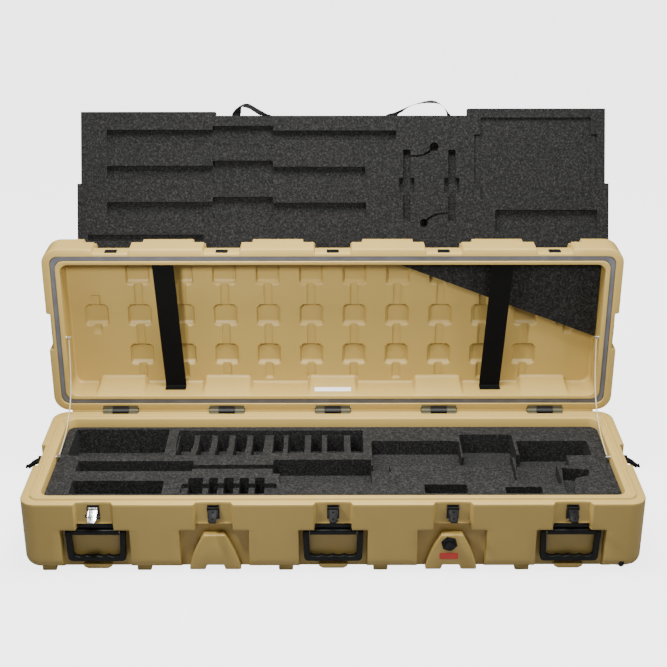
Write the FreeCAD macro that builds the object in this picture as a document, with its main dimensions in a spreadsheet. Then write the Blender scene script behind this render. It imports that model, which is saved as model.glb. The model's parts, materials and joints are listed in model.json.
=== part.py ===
import FreeCAD, Part
import math
import os
import re
from FreeCAD import Placement, Rotation, Vector

# Long hard equipment case: a moulded base and lid joined by five rear hinges, closed by seven
# latches, carried by five bail handles, with cut foam in the base, a loose foam tray and a wedge.
# Frame: X along the case, Y from front to back, Z up; origin on the floor under the case's centre.
# The lid is drawn open at a right angle, which is its rest position.

DIMENSIONS = {
    "case_length": 1460, "case_width": 453, "parting": 190, "foot_height": 8, "skin": 5,
    "end_flange": 44, "side_flange": 42.5, "plan_radius": 40, "bottom_radius": 30, "mouth_radius": 22,
    "rim_thick": 14, "lip_depth": 34, "tongue_inset": 26, "tongue_width": 8, "tongue_height": 3,
    "lid_depth": 85, "panel_depth": 79, "boss_height": 10, "lid_front": 228.5, "lid_bottom": 191.5,
    "gasket_width": 13, "gasket_sunk": 3, "channel_depth": 9, "hinge_pitch": 278.5, "hinge_y": 228,
    "latch_pitch": 278, "pad_width": 94, "pad_depth": 13, "pad_foot": 132,
    "bay_width": 160, "bay_depth": 22, "bay_top": 118, "end_pad_width": 100, "end_pad_depth": 11,
    "arm_width": 22, "arm_length": 35, "arm_thick": 2, "latch_pin_height": 176, "pin_stand": 8,
    "wing_span": 34, "wing_width": 9, "wing_drop": 17, "hinge_width": 92, "hinge_slot": 94,
    "slot_depth": 12, "ramp_width": 126, "ramp_rise": 17, "rib_height": 4,
    "knuckle_radius": 6, "pin_radius": 3, "leaf_thick": 2.5, "running_gap": 0.05,
    "handle_width": 142, "handle_drop": 78, "grip_height": 16, "handle_thick": 14, "handle_stand": 10,
    "handle_pin_height": 108, "arm_breadth": 14, "bracket_width": 100,
    "foam_top": 166, "foam_gap": 0.5,
    "tray_length": 1366, "tray_shift": 27, "tray_height": 348, "tray_face": 25, "tray_back": 10,
    "tray_y": 325.3, "tray_z": 602, "tray_lean": 22,
    "strap_width": 54, "strap_thick": 1.6, "wheel_radius": 22, "wheel_width": 26, "axle_radius": 4,
    "valve_radius": 20, "valve_height": 81, "cable_radius": 1.5, "stud_radius": 4,
}
FRONT_PLACES = (-2, -1, 0, 1, 2)
HANDLE_PLACES = (-2, 0, 2)
BOSS_PITCH = 112
BOSS_ROWS = (552, 436, 323)

doc = FreeCAD.newDocument("equipment_case")
sheet = doc.addObject("Spreadsheet::Sheet", "Dimensions")
for row, (alias, value) in enumerate(DIMENSIONS.items(), start=1):
    sheet.set(f"A{row}", alias)
    sheet.set(f"B{row}", str(value))
    sheet.setAlias(f"B{row}", alias)
doc.recompute()
parts = []


def bind(text):
    """An expression in which each alias is read from the sheet."""
    return re.sub(r"[a-z]+(?:_[a-z]+)+|\b(?:parting|skin)\b",
                  lambda word: f"Dimensions.{word.group(0)}" if word.group(0) in DIMENSIONS
                  else word.group(0), str(text))


def worked_out(text):
    """The number that an expression of aliases gives, worked out in a spare cell of the sheet."""
    sheet.set("D1", "=" + text)
    sheet.recompute()
    return float(sheet.get("D1"))


def place(item, x, y, z):
    for axis, text in zip("xyz", (x, y, z)):
        item.setExpression(f"Placement.Base.{axis}", bind(text))
    return item


def block(name, x, y, z):
    """A box from three (low, high) pairs of expressions."""
    item = doc.addObject("Part::Box", name)
    for size, (low, high) in zip(("Length", "Width", "Height"), (x, y, z)):
        item.setExpression(size, bind(f"({high}) - ({low})"))
    return place(item, x[0], y[0], z[0])


def rod(name, radius, length, x, y, z, axis=(0, 0, 1)):
    """A cylinder that starts at x, y, z and runs along axis."""
    item = doc.addObject("Part::Cylinder", name)
    item.setExpression("Radius", bind(radius))
    item.setExpression("Height", bind(length))
    item.Placement = Placement(Vector(), Rotation(Vector(0, 0, 1), Vector(*axis)))
    return place(item, x, y, z)


def prism(name, points, sweep):
    """A flat outline swept along a vector."""
    corners = [Vector(*point) for point in points]
    item = doc.addObject("Part::Feature", name)
    item.Shape = Part.Face(Part.makePolygon(corners + corners[:1])).extrude(Vector(*sweep))
    return item


def group(name, items):
    if len(items) == 1:
        return items[0]
    item = doc.addObject("Part::MultiFuse", name)
    item.Shapes = items
    return item


def cluster(name, items):
    item = doc.addObject("Part::Compound", name)
    item.Links = items
    return item


def cut(name, base, tools):
    item = doc.addObject("Part::Cut", name)
    item.Base = base
    item.Tool = group(name + "_tools", tools)
    return item


def rounded(name, base, radius, wanted):
    """base with the edges that wanted accepts rounded to a radius from the sheet."""
    doc.recompute()
    item = doc.addObject("Part::Fillet", name)
    item.Base = base
    size = worked_out(radius)
    item.Edges = [(number, size, size) for number, edge in enumerate(base.Shape.Edges, start=1)
                  if wanted(edge)]
    return item


def along(axis):
    """Accepts straight edges that run along one of the axes."""
    def wanted(edge):
        if edge.Curve.TypeId != "Part::GeomLine":
            return False
        return abs(edge.tangentAt(edge.FirstParameter).dot(Vector(*axis))) > 0.999
    return wanted


def at_level(axis, level):
    """Accepts edges that lie wholly at one level along x, y or z."""
    def wanted(edge):
        box = edge.BoundBox
        low, high = getattr(box, axis.upper() + "Min"), getattr(box, axis.upper() + "Max")
        return abs(low - level) < 0.01 and abs(high - level) < 0.01
    return wanted


def keep(label, item):
    """Names a finished sub-part: its label is its file's name."""
    item.Label = label
    parts.append(item)
    return item


def mirrored_y(low, high):
    return (f"-({high})", f"-({low})")


# ---------------------------------------------------------------- base shell

HALF_X = "case_length / 2"
HALF_Y = "case_width / 2"


def ring(name, outer_x, outer_y, inner_x, inner_y, depth, radius, upright=True):
    """A rectangular ring of rounded corners: flat on the base, or standing in the open lid."""
    slabs = []
    for part, half_x, half_y, swell in (("outer", outer_x, outer_y, 0), ("inner", inner_x, inner_y, 1)):
        low, high = f"({depth[0]}) - {swell}", f"({depth[1]}) + {swell}"
        if upright:
            slab = block(f"{name}_{part}", (f"-({half_x})", half_x), (f"-({half_y})", half_y),
                         (low, high))
            axis = (0, 0, 1)
        else:
            middle = "lid_bottom + case_width / 2"
            slab = block(f"{name}_{part}", (f"-({half_x})", half_x), (low, high),
                         (f"{middle} - ({half_y})", f"{middle} + ({half_y})"))
            axis = (0, 1, 0)
        slabs.append(rounded(f"{name}_{part}_round", slab, radius, along(axis)))
    return cut(name, slabs[0], [slabs[1]])


def slab_round(name, half_x, half_y, z, radius):
    slab = block(name, (f"-({half_x})", half_x), (f"-({half_y})", half_y), z)
    return rounded(name + "_round", slab, radius, along((0, 0, 1)))


def front_recesses(grow):
    """Latch pads and bays in the front wall, grown by a skin for the inside of the wall."""
    made = []
    tag = "inner" if grow != "0" else "outer"
    for spot in FRONT_PLACES:
        centre = f"latch_pitch * {spot}"
        name = f"front_{tag}_{spot + 3}"
        front = f"-({HALF_Y}) - 1"
        made.append(block(name + "_pad", (f"{centre} - pad_width / 2 - {grow}",
                                          f"{centre} + pad_width / 2 + {grow}"),
                          (front, f"-({HALF_Y}) + pad_depth + {grow}"),
                          ("pad_foot - 2", "parting + 1")))
        made.append(block(name + "_notch", (f"{centre} - pad_width / 2 + 4 - {grow}",
                                            f"{centre} + pad_width / 2 - 4 + {grow}"),
                          (front, f"-({HALF_Y}) + bay_depth + {grow}"),
                          ("bay_top - 2", f"pad_foot + {grow}")))
        made.append(block(name + "_bay", (f"{centre} - bay_width / 2 - {grow}",
                                          f"{centre} + bay_width / 2 + {grow}"),
                          (front, f"-({HALF_Y}) + bay_depth + {grow}"),
                          ("0", f"bay_top + {grow}")))
    return made


def end_recesses(grow):
    """Latch notch and handle bay in each end wall."""
    made = []
    tag = "inner" if grow != "0" else "outer"
    for side, word in ((-1, "left"), (1, "right")):
        def deep(depth):
            near, far = f"{HALF_X} - {depth} - {grow}", f"{HALF_X} + 1"
            return (near, far) if side > 0 else (f"-({far})", f"-({near})")
        made.append(block(f"end_{tag}_{word}_pad", deep("end_pad_depth"),
                          (f"-end_pad_width / 2 - {grow}", f"end_pad_width / 2 + {grow}"),
                          ("pad_foot - 2", "parting + 1")))
        made.append(block(f"end_{tag}_{word}_notch", deep("bay_depth"),
                          (f"-end_pad_width / 2 + 4 - {grow}", f"end_pad_width / 2 - 4 + {grow}"),
                          ("bay_top - 2", f"pad_foot + {grow}")))
        made.append(block(f"end_{tag}_{word}_bay", deep("bay_depth"),
                          (f"-bay_width / 2 - {grow}", f"bay_width / 2 + {grow}"),
                          ("22", f"bay_top + {grow}")))
    return made


def hinge_recesses(grow):
    made = []
    tag = "inner" if grow != "0" else "outer"
    for spot in FRONT_PLACES:
        centre = f"hinge_pitch * {spot}"
        made.append(block(f"rear_{tag}_{spot + 3}",
                          (f"{centre} - hinge_slot / 2 - {grow}", f"{centre} + hinge_slot / 2 + {grow}"),
                          (f"{HALF_Y} - slot_depth - {grow}", f"{HALF_Y} + 1"),
                          (f"132 - {grow}", "parting + 1")))
    return made


def wheel_wells(grow, tag):
    """Two wells in the lower right end that take the transport wheels."""
    made = []
    for side, word in ((-1, "front"), (1, "rear")):
        y = (f"150 - {grow}", f"{HALF_Y} - 8 + {grow}")
        made.append(block(f"well_{tag}_{word}", (f"{HALF_X} - 77 - {grow}", f"{HALF_X} - 23 + {grow}"),
                          y if side > 0 else mirrored_y(*y), ("0", f"50 + {grow}")))
    return made


def axle_bores():
    """The bore through both walls of each well that holds the axle's shaft and head."""
    made = []
    for side, word in ((-1, "front"), (1, "rear")):
        near = f"{HALF_Y} - 82"
        made.append(rod(f"axle_bore_{word}", "axle_radius", "90", f"{HALF_X} - 50",
                        near if side > 0 else f"-({near})", "wheel_radius + 0.5", (0, side, 0)))
    return made


def wheel_windows():
    """Stepped openings in the wall of each well that show the wheel's lower half and its axle's head."""
    made = []
    for side, word in ((-1, "front"), (1, "rear")):
        y = (f"{HALF_Y} - 9", f"{HALF_Y} + 1")
        for half, top in ((15, 14), (8, 32)):
            made.append(block(f"window_{word}_{half}",
                              (f"{HALF_X} - 50 - {half}", f"{HALF_X} - 50 + {half}"),
                              y if side > 0 else mirrored_y(*y), ("0", str(top))))
    return made


outer = slab_round("base_block", HALF_X, HALF_Y, ("foot_height", "parting"), "plan_radius")
outer = rounded("base_outer", outer, "bottom_radius", at_level("z", DIMENSIONS["foot_height"]))
feet = [block(f"foot_{number}", (f"{x} - 17", f"{x} + 17"), (f"-({HALF_Y}) + 12", f"{HALF_Y} - 12"),
              ("0", "foot_height + 8"))
        for number, x in enumerate((-672, -447, -112, 112, 447), start=1)]
feet += [block("foot_centre", ("-30", "30"), ("-60", "60"), ("0", "foot_height + 1")),
         block("foot_end", ("655", "689"), ("-120", "120"), ("0", "foot_height + 8"))]
tongue = ring("tongue", f"{HALF_X} - tongue_inset + tongue_width / 2",
              f"{HALF_Y} - tongue_inset + tongue_width / 2",
              f"{HALF_X} - tongue_inset - tongue_width / 2",
              f"{HALF_Y} - tongue_inset - tongue_width / 2",
              ("parting - 1", "parting + tongue_height"), "mouth_radius")
inside = slab_round("base_inside", f"{HALF_X} - skin", f"{HALF_Y} - skin",
                    ("foot_height + skin", "parting - rim_thick"), "plan_radius - skin")
lip = slab_round("base_lip", f"{HALF_X} - end_flange + skin", f"{HALF_Y} - side_flange + skin",
                 ("parting - lip_depth", "parting"), "mouth_radius")
hollow = cut("base_hollow", inside, [lip] + front_recesses("skin") + end_recesses("skin")
             + hinge_recesses("skin") + wheel_wells("skin", "inner"))
mouth = slab_round("base_mouth", f"{HALF_X} - end_flange", f"{HALF_Y} - side_flange",
                   ("parting - lip_depth - 1", "parting + 10"), "mouth_radius")
bumps = [block(f"bay_bump_{spot + 3}", (f"latch_pitch * {spot} - 34", f"latch_pitch * {spot} + 34"),
               (f"-({HALF_Y}) + 2", f"-({HALF_Y}) + bay_depth + 1"), ("foot_height", "foot_height + 14"))
         for spot in HANDLE_PLACES]


# Half-widths of the arch at rising levels: (half-width, level).
ARCH_SIDE = [(61, 8), (56.5, 32), (48, 56), (37.6, 80), (25, 104)]


def arch(spot):
    """The raised arch that fills an empty bay: narrow at the top, notched at the bottom."""
    centre, front = DIMENSIONS["latch_pitch"] * spot, 3 - DIMENSIONS["case_width"] / 2
    profile = [(-x, z) for x, z in reversed(ARCH_SIDE)] + [(-20, 8), (-20, 20), (20, 20), (20, 8)]
    return prism(f"arch_{spot + 3}", [(centre + x, front, z) for x, z in profile + ARCH_SIDE],
                 (0, DIMENSIONS["bay_depth"] - 2, 0))


shell_body = cut("base_cut", group("base_solid", [outer] + feet + [tongue]),
                 [hollow, mouth] + front_recesses("0") + end_recesses("0") + hinge_recesses("0")
                 + wheel_wells("0", "outer") + wheel_windows() + axle_bores())
base_shell = keep("base_shell", group("base_shell_fuse", [shell_body] + bumps + [arch(-1), arch(1)]))

# ---------------------------------------------------------------- base foam

# Pockets cut into the foam: (x from, x to, y from, y to, depth).
BASE_POCKETS = [
    (-664, -423, 38, 172, 70),
    (-632, -345, -37, 11, 40), (-346, -147, -26, -7, 22),
    (-148, 95, -50, 17, 46), (-130, 95, -94, -49, 46),
    (-629, -408, -141, -82, 60),
    (98, 321, -13, 110, 40), (92, 142, -91, -14, 16),
    (325, 460, 27, 143, 55), (320, 446, -85, 26, 22), (467, 648, 37, 109, 60), (453, 584, -12, 36, 34),
    (450, 552, -99, -11, 28), (570, 628, -60, -28, 46), (556, 575, -139, -28, 34),
    (219, 322, -140, -100, 40), (412, 500, -141, -112, 40),
    (-398, 77, 75, 165, 14), (-365, -135, -141, -95, 12),
]
# Slots for flat things on their edge: (x from, x to, y from), and the row of short ones: (x from, x to).
TALL_SLOTS = [(-395, -357, 39), (-344, -312, 39), (-297, -267, 39), (-252, -221, 39), (-206, -176, 39),
              (-153, -126, 50), (-115, -72, 50), (-56, -28, 50), (-15, 29, 50), (45, 77, 50)]
SHORT_SLOTS = [(-350, -314), (-300, -278), (-264, -240), (-226, -203), (-189, -165)]


def pocket(name, x, y, depth):
    return block(name, (str(x[0]), str(x[1])), (str(y[0]), str(y[1])),
                 (f"foam_top - {depth}", "foam_top + 1"))


def base_foam():
    """The block of foam that fills the base, with its cut pockets."""
    body = slab_round("foam_block", f"{HALF_X} - end_flange - foam_gap",
                      f"{HALF_Y} - side_flange - foam_gap",
                      ("foot_height + skin", "foam_top"), "mouth_radius")
    cuts = wheel_wells("(skin + 2)", "foam")
    cuts += [pocket(f"pocket_{n}", p[0:2], p[2:4], p[4]) for n, p in enumerate(BASE_POCKETS, start=1)]
    cuts += [pocket(f"slot_{n}", s[0:2], (s[2], 165), 62) for n, s in enumerate(TALL_SLOTS, start=1)]
    cuts += [pocket(f"short_slot_{n}", x, (-141, -68), 48) for n, x in enumerate(SHORT_SLOTS, start=1)]
    return keep("base_foam", cut("base_foam_cut", body, cuts))


base_foam()

# ---------------------------------------------------------------- lid shell

LID_MIDDLE = "lid_bottom + case_width / 2"
LID_TOP = "lid_bottom + case_width"


def lid_slab(name, half_x, half_z, y, radius):
    slab = block(name, (f"-({half_x})", half_x), y,
                 (f"{LID_MIDDLE} - ({half_z})", f"{LID_MIDDLE} + ({half_z})"))
    return rounded(name + "_round", slab, radius, along((0, 1, 0)))


def lid_recesses(grow):
    """Keeper pads and the deep bays behind them in the lid's front wall, and the end notches."""
    made = []
    tag = "inner" if grow != "0" else "outer"
    top = f"{LID_TOP} + 1"
    for spot in FRONT_PLACES:
        centre = f"latch_pitch * {spot}"
        for word, half, depth, start in (("pad", 46, 11, "-1"), ("bay", 45, 31, "41"),
                                         ("step", 74, 12, "54")):
            made.append(block(f"lid_{word}_{tag}_{spot + 3}",
                              (f"{centre} - {half} - {grow}", f"{centre} + {half} + {grow}"),
                              (f"lid_front + {start} - {grow}", "lid_front + lid_depth + 20"),
                              (f"{LID_TOP} - {depth} - {grow}", top)))
        centre = f"hinge_pitch * {spot}"
        made.append(block(f"lid_hinge_{tag}_{spot + 3}",
                          (f"{centre} - hinge_slot / 2 - {grow}", f"{centre} + hinge_slot / 2 + {grow}"),
                          ("lid_front - 1", f"lid_front + 50 + {grow}"),
                          ("lid_bottom - 6", f"lid_bottom + slot_depth + {grow}")))
    for side, word in ((-1, "left"), (1, "right")):
        near, far = f"{HALF_X} - end_pad_depth - {grow}", f"{HALF_X} + 1"
        made.append(block(f"lid_end_{tag}_{word}",
                          (near, far) if side > 0 else (f"-({far})", f"-({near})"),
                          ("lid_front - 1", f"lid_front + 41 + {grow}"),
                          (f"{LID_MIDDLE} - end_pad_width / 2 - {grow}",
                           f"{LID_MIDDLE} + end_pad_width / 2 + {grow}")))
    return made


def boss_columns(tag, low, high, grow):
    """Twelve columns of stacking bosses: three pads joined by necks, one pad in the end columns."""
    made = []
    for column in range(12):
        x = (column - 5.5) * BOSS_PITCH
        end_column = column in (0, 11)
        rows = BOSS_ROWS[1:2] if end_column else BOSS_ROWS
        for number, z in enumerate(rows):
            made.append(block(f"boss_{tag}_{column}_{number}",
                              (f"{x} - 29 - {grow}", f"{x} + 29 + {grow}"),
                              (low, high), (f"{z} - 36 - {grow}", f"{z} + 22 + {grow}")))
        bottom, top = (BOSS_ROWS[1] - 62, BOSS_ROWS[1] + 50) if end_column else (243, BOSS_ROWS[0])
        made.append(block(f"boss_neck_{tag}_{column}", (f"{x} - 10 - {grow}", f"{x} + 10 + {grow}"),
                          (low, high), (f"{bottom} - {grow}", f"{top} + {grow}")))
    return made


lid_outer = rounded("lid_outer", lid_slab("lid_block", HALF_X, HALF_Y,
                                          ("lid_front", "lid_front + lid_depth"),
                                          "plan_radius"),
                    "lid_depth - panel_depth + 8",
                    at_level("y", DIMENSIONS["lid_front"] + DIMENSIONS["lid_depth"]))
lid_mouth = lid_slab("lid_mouth", f"{HALF_X} - end_flange", f"{HALF_Y} - side_flange",
                     ("lid_front - 1", "lid_front + panel_depth"), "mouth_radius")
lid_inside = lid_slab("lid_inside", f"{HALF_X} - skin", f"{HALF_Y} - skin",
                      ("lid_front + rim_thick", "lid_front + panel_depth"), "plan_radius - skin")
lid_lip = lid_slab("lid_lip", f"{HALF_X} - end_flange + skin", f"{HALF_Y} - side_flange + skin",
                   ("lid_front", "lid_front + panel_depth - 4"), "mouth_radius")
RAMP_FOOT = DIMENSIONS["lid_bottom"] + DIMENSIONS["side_flange"]


def ramp_height(depth):
    """How high a hinge ramp stands above the lid's lower wall at a depth from the rim."""
    return DIMENSIONS["ramp_rise"] * depth / DIMENSIONS["panel_depth"]


def hinge_ramp(spot):
    """The ramp over a hinge: it rises from the rim to the panel."""
    left, front = DIMENSIONS["hinge_pitch"] * spot - DIMENSIONS["ramp_width"] / 2, DIMENSIONS["lid_front"]
    deep = DIMENSIONS["panel_depth"] + 1
    profile = [(front, RAMP_FOOT - 1), (front, RAMP_FOOT), (front + deep, RAMP_FOOT + ramp_height(deep)),
               (front + deep, RAMP_FOOT - 1)]
    return prism(f"lid_ramp_{spot + 3}", [(left, y, z) for y, z in profile],
                 (DIMENSIONS["ramp_width"], 0, 0))


lid_hollow = cut("lid_hollow", lid_inside, [lid_lip] + lid_recesses("skin"))
channel = ring("gasket_channel", f"{HALF_X} - tongue_inset + gasket_width / 2 + 0.5",
               f"{HALF_Y} - tongue_inset + gasket_width / 2 + 0.5",
               f"{HALF_X} - tongue_inset - gasket_width / 2 - 0.5",
               f"{HALF_Y} - tongue_inset - gasket_width / 2 - 0.5",
               ("lid_front - 1", "lid_front + channel_depth"), "mouth_radius", upright=False)
rear_rib = block("rear_rib", (f"-({HALF_X}) + 45", f"{HALF_X} - 45"), ("lid_front", "lid_front + 3.5"),
                 ("lid_bottom - rib_height", "lid_bottom + 1"))
lid_solid = group("lid_solid", [lid_outer, rear_rib] + boss_columns("out", "lid_front + panel_depth + 1",
                                                          "lid_front + lid_depth + boss_height", 5))
lid_cut = cut("lid_cut", lid_solid, [lid_hollow, lid_mouth, channel] + lid_recesses("0")
              + boss_columns("in", "lid_front + panel_depth - 1", "lid_front + panel_depth + boss_height",
                             0))
lid_shell = keep("lid_shell", group("lid_shell_fuse", [lid_cut] + [hinge_ramp(n) for n in FRONT_PLACES]))

# ---------------------------------------------------------------- gasket, straps, wedge, label

keep("lid_gasket", ring("gasket_ring", f"{HALF_X} - tongue_inset + gasket_width / 2",
                        f"{HALF_Y} - tongue_inset + gasket_width / 2",
                        f"{HALF_X} - tongue_inset - gasket_width / 2",
                        f"{HALF_Y} - tongue_inset - gasket_width / 2",
                        ("lid_front + gasket_sunk", "lid_front + channel_depth"), "mouth_radius",
                        upright=False))


def lid_strap(word, side):
    """Webbing stretched across the lid from its front wall to its hinge wall, with a foot at each end."""
    width, thick = DIMENSIONS["strap_width"], DIMENSIONS["strap_thick"]
    low, high = Vector(side * 415, 280, 241), Vector(side * 428, 240, 598)
    run = high - low
    item = doc.addObject("Part::Box", f"{word}_strap_run")
    item.setExpression("Length", bind("strap_width"))
    item.setExpression("Width", bind("strap_thick"))
    item.Height = run.Length
    turn = Rotation(Vector(0, 0, 1), run)
    item.Placement = Placement(low - turn.multVec(Vector(width / 2, thick / 2, 0)), turn)
    foot = block(f"{word}_strap_foot", (f"{side * 415} - strap_width / 2",
                                        f"{side * 415} + strap_width / 2"),
                 ("262", "284"), ("lid_bottom + side_flange", "lid_bottom + side_flange + 8"))
    head = block(f"{word}_strap_head", (f"{side * 428} - strap_width / 2",
                                        f"{side * 428} + strap_width / 2"),
                 ("236", "262"), (f"{LID_TOP} - side_flange - 6", f"{LID_TOP} - side_flange"))
    return keep(f"{word}_strap", group(f"{word}_strap_fuse", [item, foot, head]))


lid_strap("left", -1)
lid_strap("right", 1)



def wedge_and_label():
    """A foam wedge in the lid's upper right corner and a blank label on the middle hinge ramp."""
    panel = DIMENSIONS["lid_front"] + DIMENSIONS["panel_depth"]
    corners = [(124, 600.5), (668, 600.5), (684, 588), (684, 380)]
    keep("foam_wedge", prism("wedge", [(x, panel, z) for x, z in corners], (0, -26, 0)))
    low, high = ((DIMENSIONS["lid_front"] + depth, RAMP_FOOT + ramp_height(depth)) for depth in (18, 34))
    keep("blank_label", prism("label_strip", [(-48, low[0], low[1]), (-48, high[0], high[1]),
                                              (-48, high[0], high[1] + 0.6), (-48, low[0], low[1] + 0.6)],
                              (96, 0, 0)))


wedge_and_label()

# ---------------------------------------------------------------- hinges


def hinge_leaves():
    """Five hinges: leaves riveted to the base and the lid, turning on a pin just behind the rim."""
    base_leaves, lid_leaves, pins = [], [], []
    for spot in FRONT_PLACES:
        centre = f"hinge_pitch * {spot}"
        wall, tag = f"{HALF_Y} - slot_depth", f"hinge_{spot + 3}"
        plate = block(tag + "_base_plate", (f"{centre} - hinge_width / 2", f"{centre} + hinge_width / 2"),
                      (wall, f"{wall} + leaf_thick"), ("parting - 46", "parting - 4"))
        pieces = [plate]
        for side in (-1, 1):
            low = f"{centre} + {21 if side > 0 else -46}"
            pieces.append(block(f"{tag}_base_arm_{side + 1}", (low, f"{low} + 25"), (wall, "hinge_y"),
                                ("parting - 6", "parting - 1")))
            pieces.append(rod(f"{tag}_base_knuckle_{side + 1}", "knuckle_radius", "25", low, "hinge_y",
                              "parting", (1, 0, 0)))
        bore = rod(tag + "_base_bore", "pin_radius", "hinge_width + 10",
                   f"{centre} - hinge_width / 2 - 5", "hinge_y",
                   "parting", (1, 0, 0))
        base_leaves.append(cut(tag + "_base", group(tag + "_base_fuse", pieces), [bore]))
        pieces = [block(tag + "_lid_plate", (f"{centre} - hinge_width / 2",
                                             f"{centre} + hinge_width / 2"),
                        ("hinge_y + 4", "hinge_y + 42"),
                        ("lid_bottom + slot_depth - leaf_thick", "lid_bottom + slot_depth")),
                  block(tag + "_lid_skirt", (f"{centre} - hinge_width / 2",
                                             f"{centre} + hinge_width / 2"),
                        ("hinge_y + 1", "hinge_y + 4.5"),
                        ("parting + 7", "lid_bottom + slot_depth")),
                  block(tag + "_lid_arm", (f"{centre} - 20", f"{centre} + 20"),
                        ("hinge_y + 1", "hinge_y + 6"),
                        ("parting", "lid_bottom + slot_depth")),
                  rod(tag + "_lid_knuckle", "knuckle_radius", "40", f"{centre} - 20", "hinge_y",
                      "parting", (1, 0, 0))]
        bore = rod(tag + "_lid_bore", "pin_radius + running_gap", "50", f"{centre} - 25", "hinge_y",
                   "parting", (1, 0, 0))
        lid_leaves.append(cut(tag + "_lid", group(tag + "_lid_fuse", pieces), [bore]))
        pins.append(rod(tag + "_pin", "pin_radius", "hinge_width + 1", f"{centre} - hinge_width / 2 - 0.5",
                        "hinge_y", "parting", (1, 0, 0)))
    keep("base_hinge_leaves", cluster("base_leaves", base_leaves))
    keep("lid_hinge_leaves", cluster("lid_leaves", lid_leaves))
    keep("hinge_pins", cluster("pins", pins))


hinge_leaves()

# ---------------------------------------------------------------- latches

LATCH_REST = 58
WING_ANGLES = {"1": 8, "2": 118, "3": 60, "4": 125, "5": 130, "left": 90, "right": 90}


def latch_frame(spot):
    """Where a latch sits: x runs across it, y points into the wall and z up, from its pin."""
    if spot == "left":
        return Placement(Vector(-DIMENSIONS["case_length"] / 2 + DIMENSIONS["end_pad_depth"], 0, 0),
                         Rotation(Vector(0, 0, 1), -90))
    if spot == "right":
        return Placement(Vector(DIMENSIONS["case_length"] / 2 - DIMENSIONS["end_pad_depth"], 0, 0),
                         Rotation(Vector(0, 0, 1), 90))
    centre = DIMENSIONS["latch_pitch"] * (int(spot) - 3)
    return Placement(Vector(centre, -DIMENSIONS["case_width"] / 2 + DIMENSIONS["pad_depth"], 0),
                     Rotation())


def latch(spot):
    """One latch in its own frame: base plate with ears and pin, hook arm and butterfly wing."""
    tag = f"latch_{spot}"
    height = "latch_pin_height"
    plate = block(tag + "_back", ("-14", "14"), ("-2", "0"), (f"{height} - 32", f"{height} + 5"))
    ears = [block(f"{tag}_ear_{n}", (x, f"{x} + 2.5"), ("-pin_stand - 3", "-1"),
                  (f"{height} - 4", f"{height} + 4"))
            for n, x in enumerate(("-14", "11.5"))]
    pin = rod(tag + "_pin", "2", "28", "-14", "-pin_stand", height, (1, 0, 0))
    rivets = [rod(f"{tag}_rivet_{n}", "3", "3.4", "0", "0", f"{height} - {drop}", (0, -1, 0))
              for n, drop in enumerate((14, 26))]
    mount = group(tag + "_plate_fuse", [plate] + ears + [pin] + rivets)
    mount.Placement = latch_frame(spot)
    keep(f"latch_plate_{spot}", mount)

    tilt = Placement(Vector(), Rotation(Vector(1, 0, 0), -LATCH_REST),
                     Vector(0, -DIMENSIONS["pin_stand"], DIMENSIONS["latch_pin_height"]))
    arm = block(tag + "_blade", ("-arm_width / 2", "arm_width / 2"),
                ("-pin_stand - arm_thick / 2", "-pin_stand + arm_thick / 2"),
                (f"{height} - arm_length", f"{height} - 2"))
    barrel = rod(tag + "_barrel", "3.6", "arm_width", "-arm_width / 2", "-pin_stand", height, (1, 0, 0))
    hook = block(tag + "_hook", ("-arm_width / 2 + 3", "arm_width / 2 - 3"),
                 ("-pin_stand - arm_thick / 2 - 2.8", "-pin_stand + arm_thick / 2"),
                 (f"{height} - arm_length - 2", f"{height} - arm_length"))
    bore = rod(tag + "_bore", "2 + running_gap", "arm_width + 4", "-arm_width / 2 - 2", "-pin_stand",
               height, (1, 0, 0))
    blade = cut(tag + "_arm_cut", group(tag + "_arm_fuse", [arm, barrel, hook]), [bore])
    blade.Placement = latch_frame(spot).multiply(tilt)
    keep(f"latch_arm_{spot}", blade)

    face, axis_height = "-pin_stand + arm_thick / 2", f"{height} - wing_drop"
    hub = rod(tag + "_hub", "6", "5", "0", f"{face} + 0.3", axis_height, (0, 1, 0))
    bar = block(tag + "_bar", ("-wing_span / 2", "wing_span / 2"), (f"{face} + 3.2", f"{face} + 5.6"),
                (f"{axis_height} - wing_width / 2", f"{axis_height} + wing_width / 2"))
    wing = group(tag + "_wing_fuse", [hub, bar])
    turn = Placement(Vector(), Rotation(Vector(0, 1, 0), WING_ANGLES[spot]),
                     Vector(0, 0, DIMENSIONS["latch_pin_height"] - DIMENSIONS["wing_drop"]))
    wing.Placement = latch_frame(spot).multiply(tilt).multiply(turn)
    keep(f"latch_wing_{spot}", wing)


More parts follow.
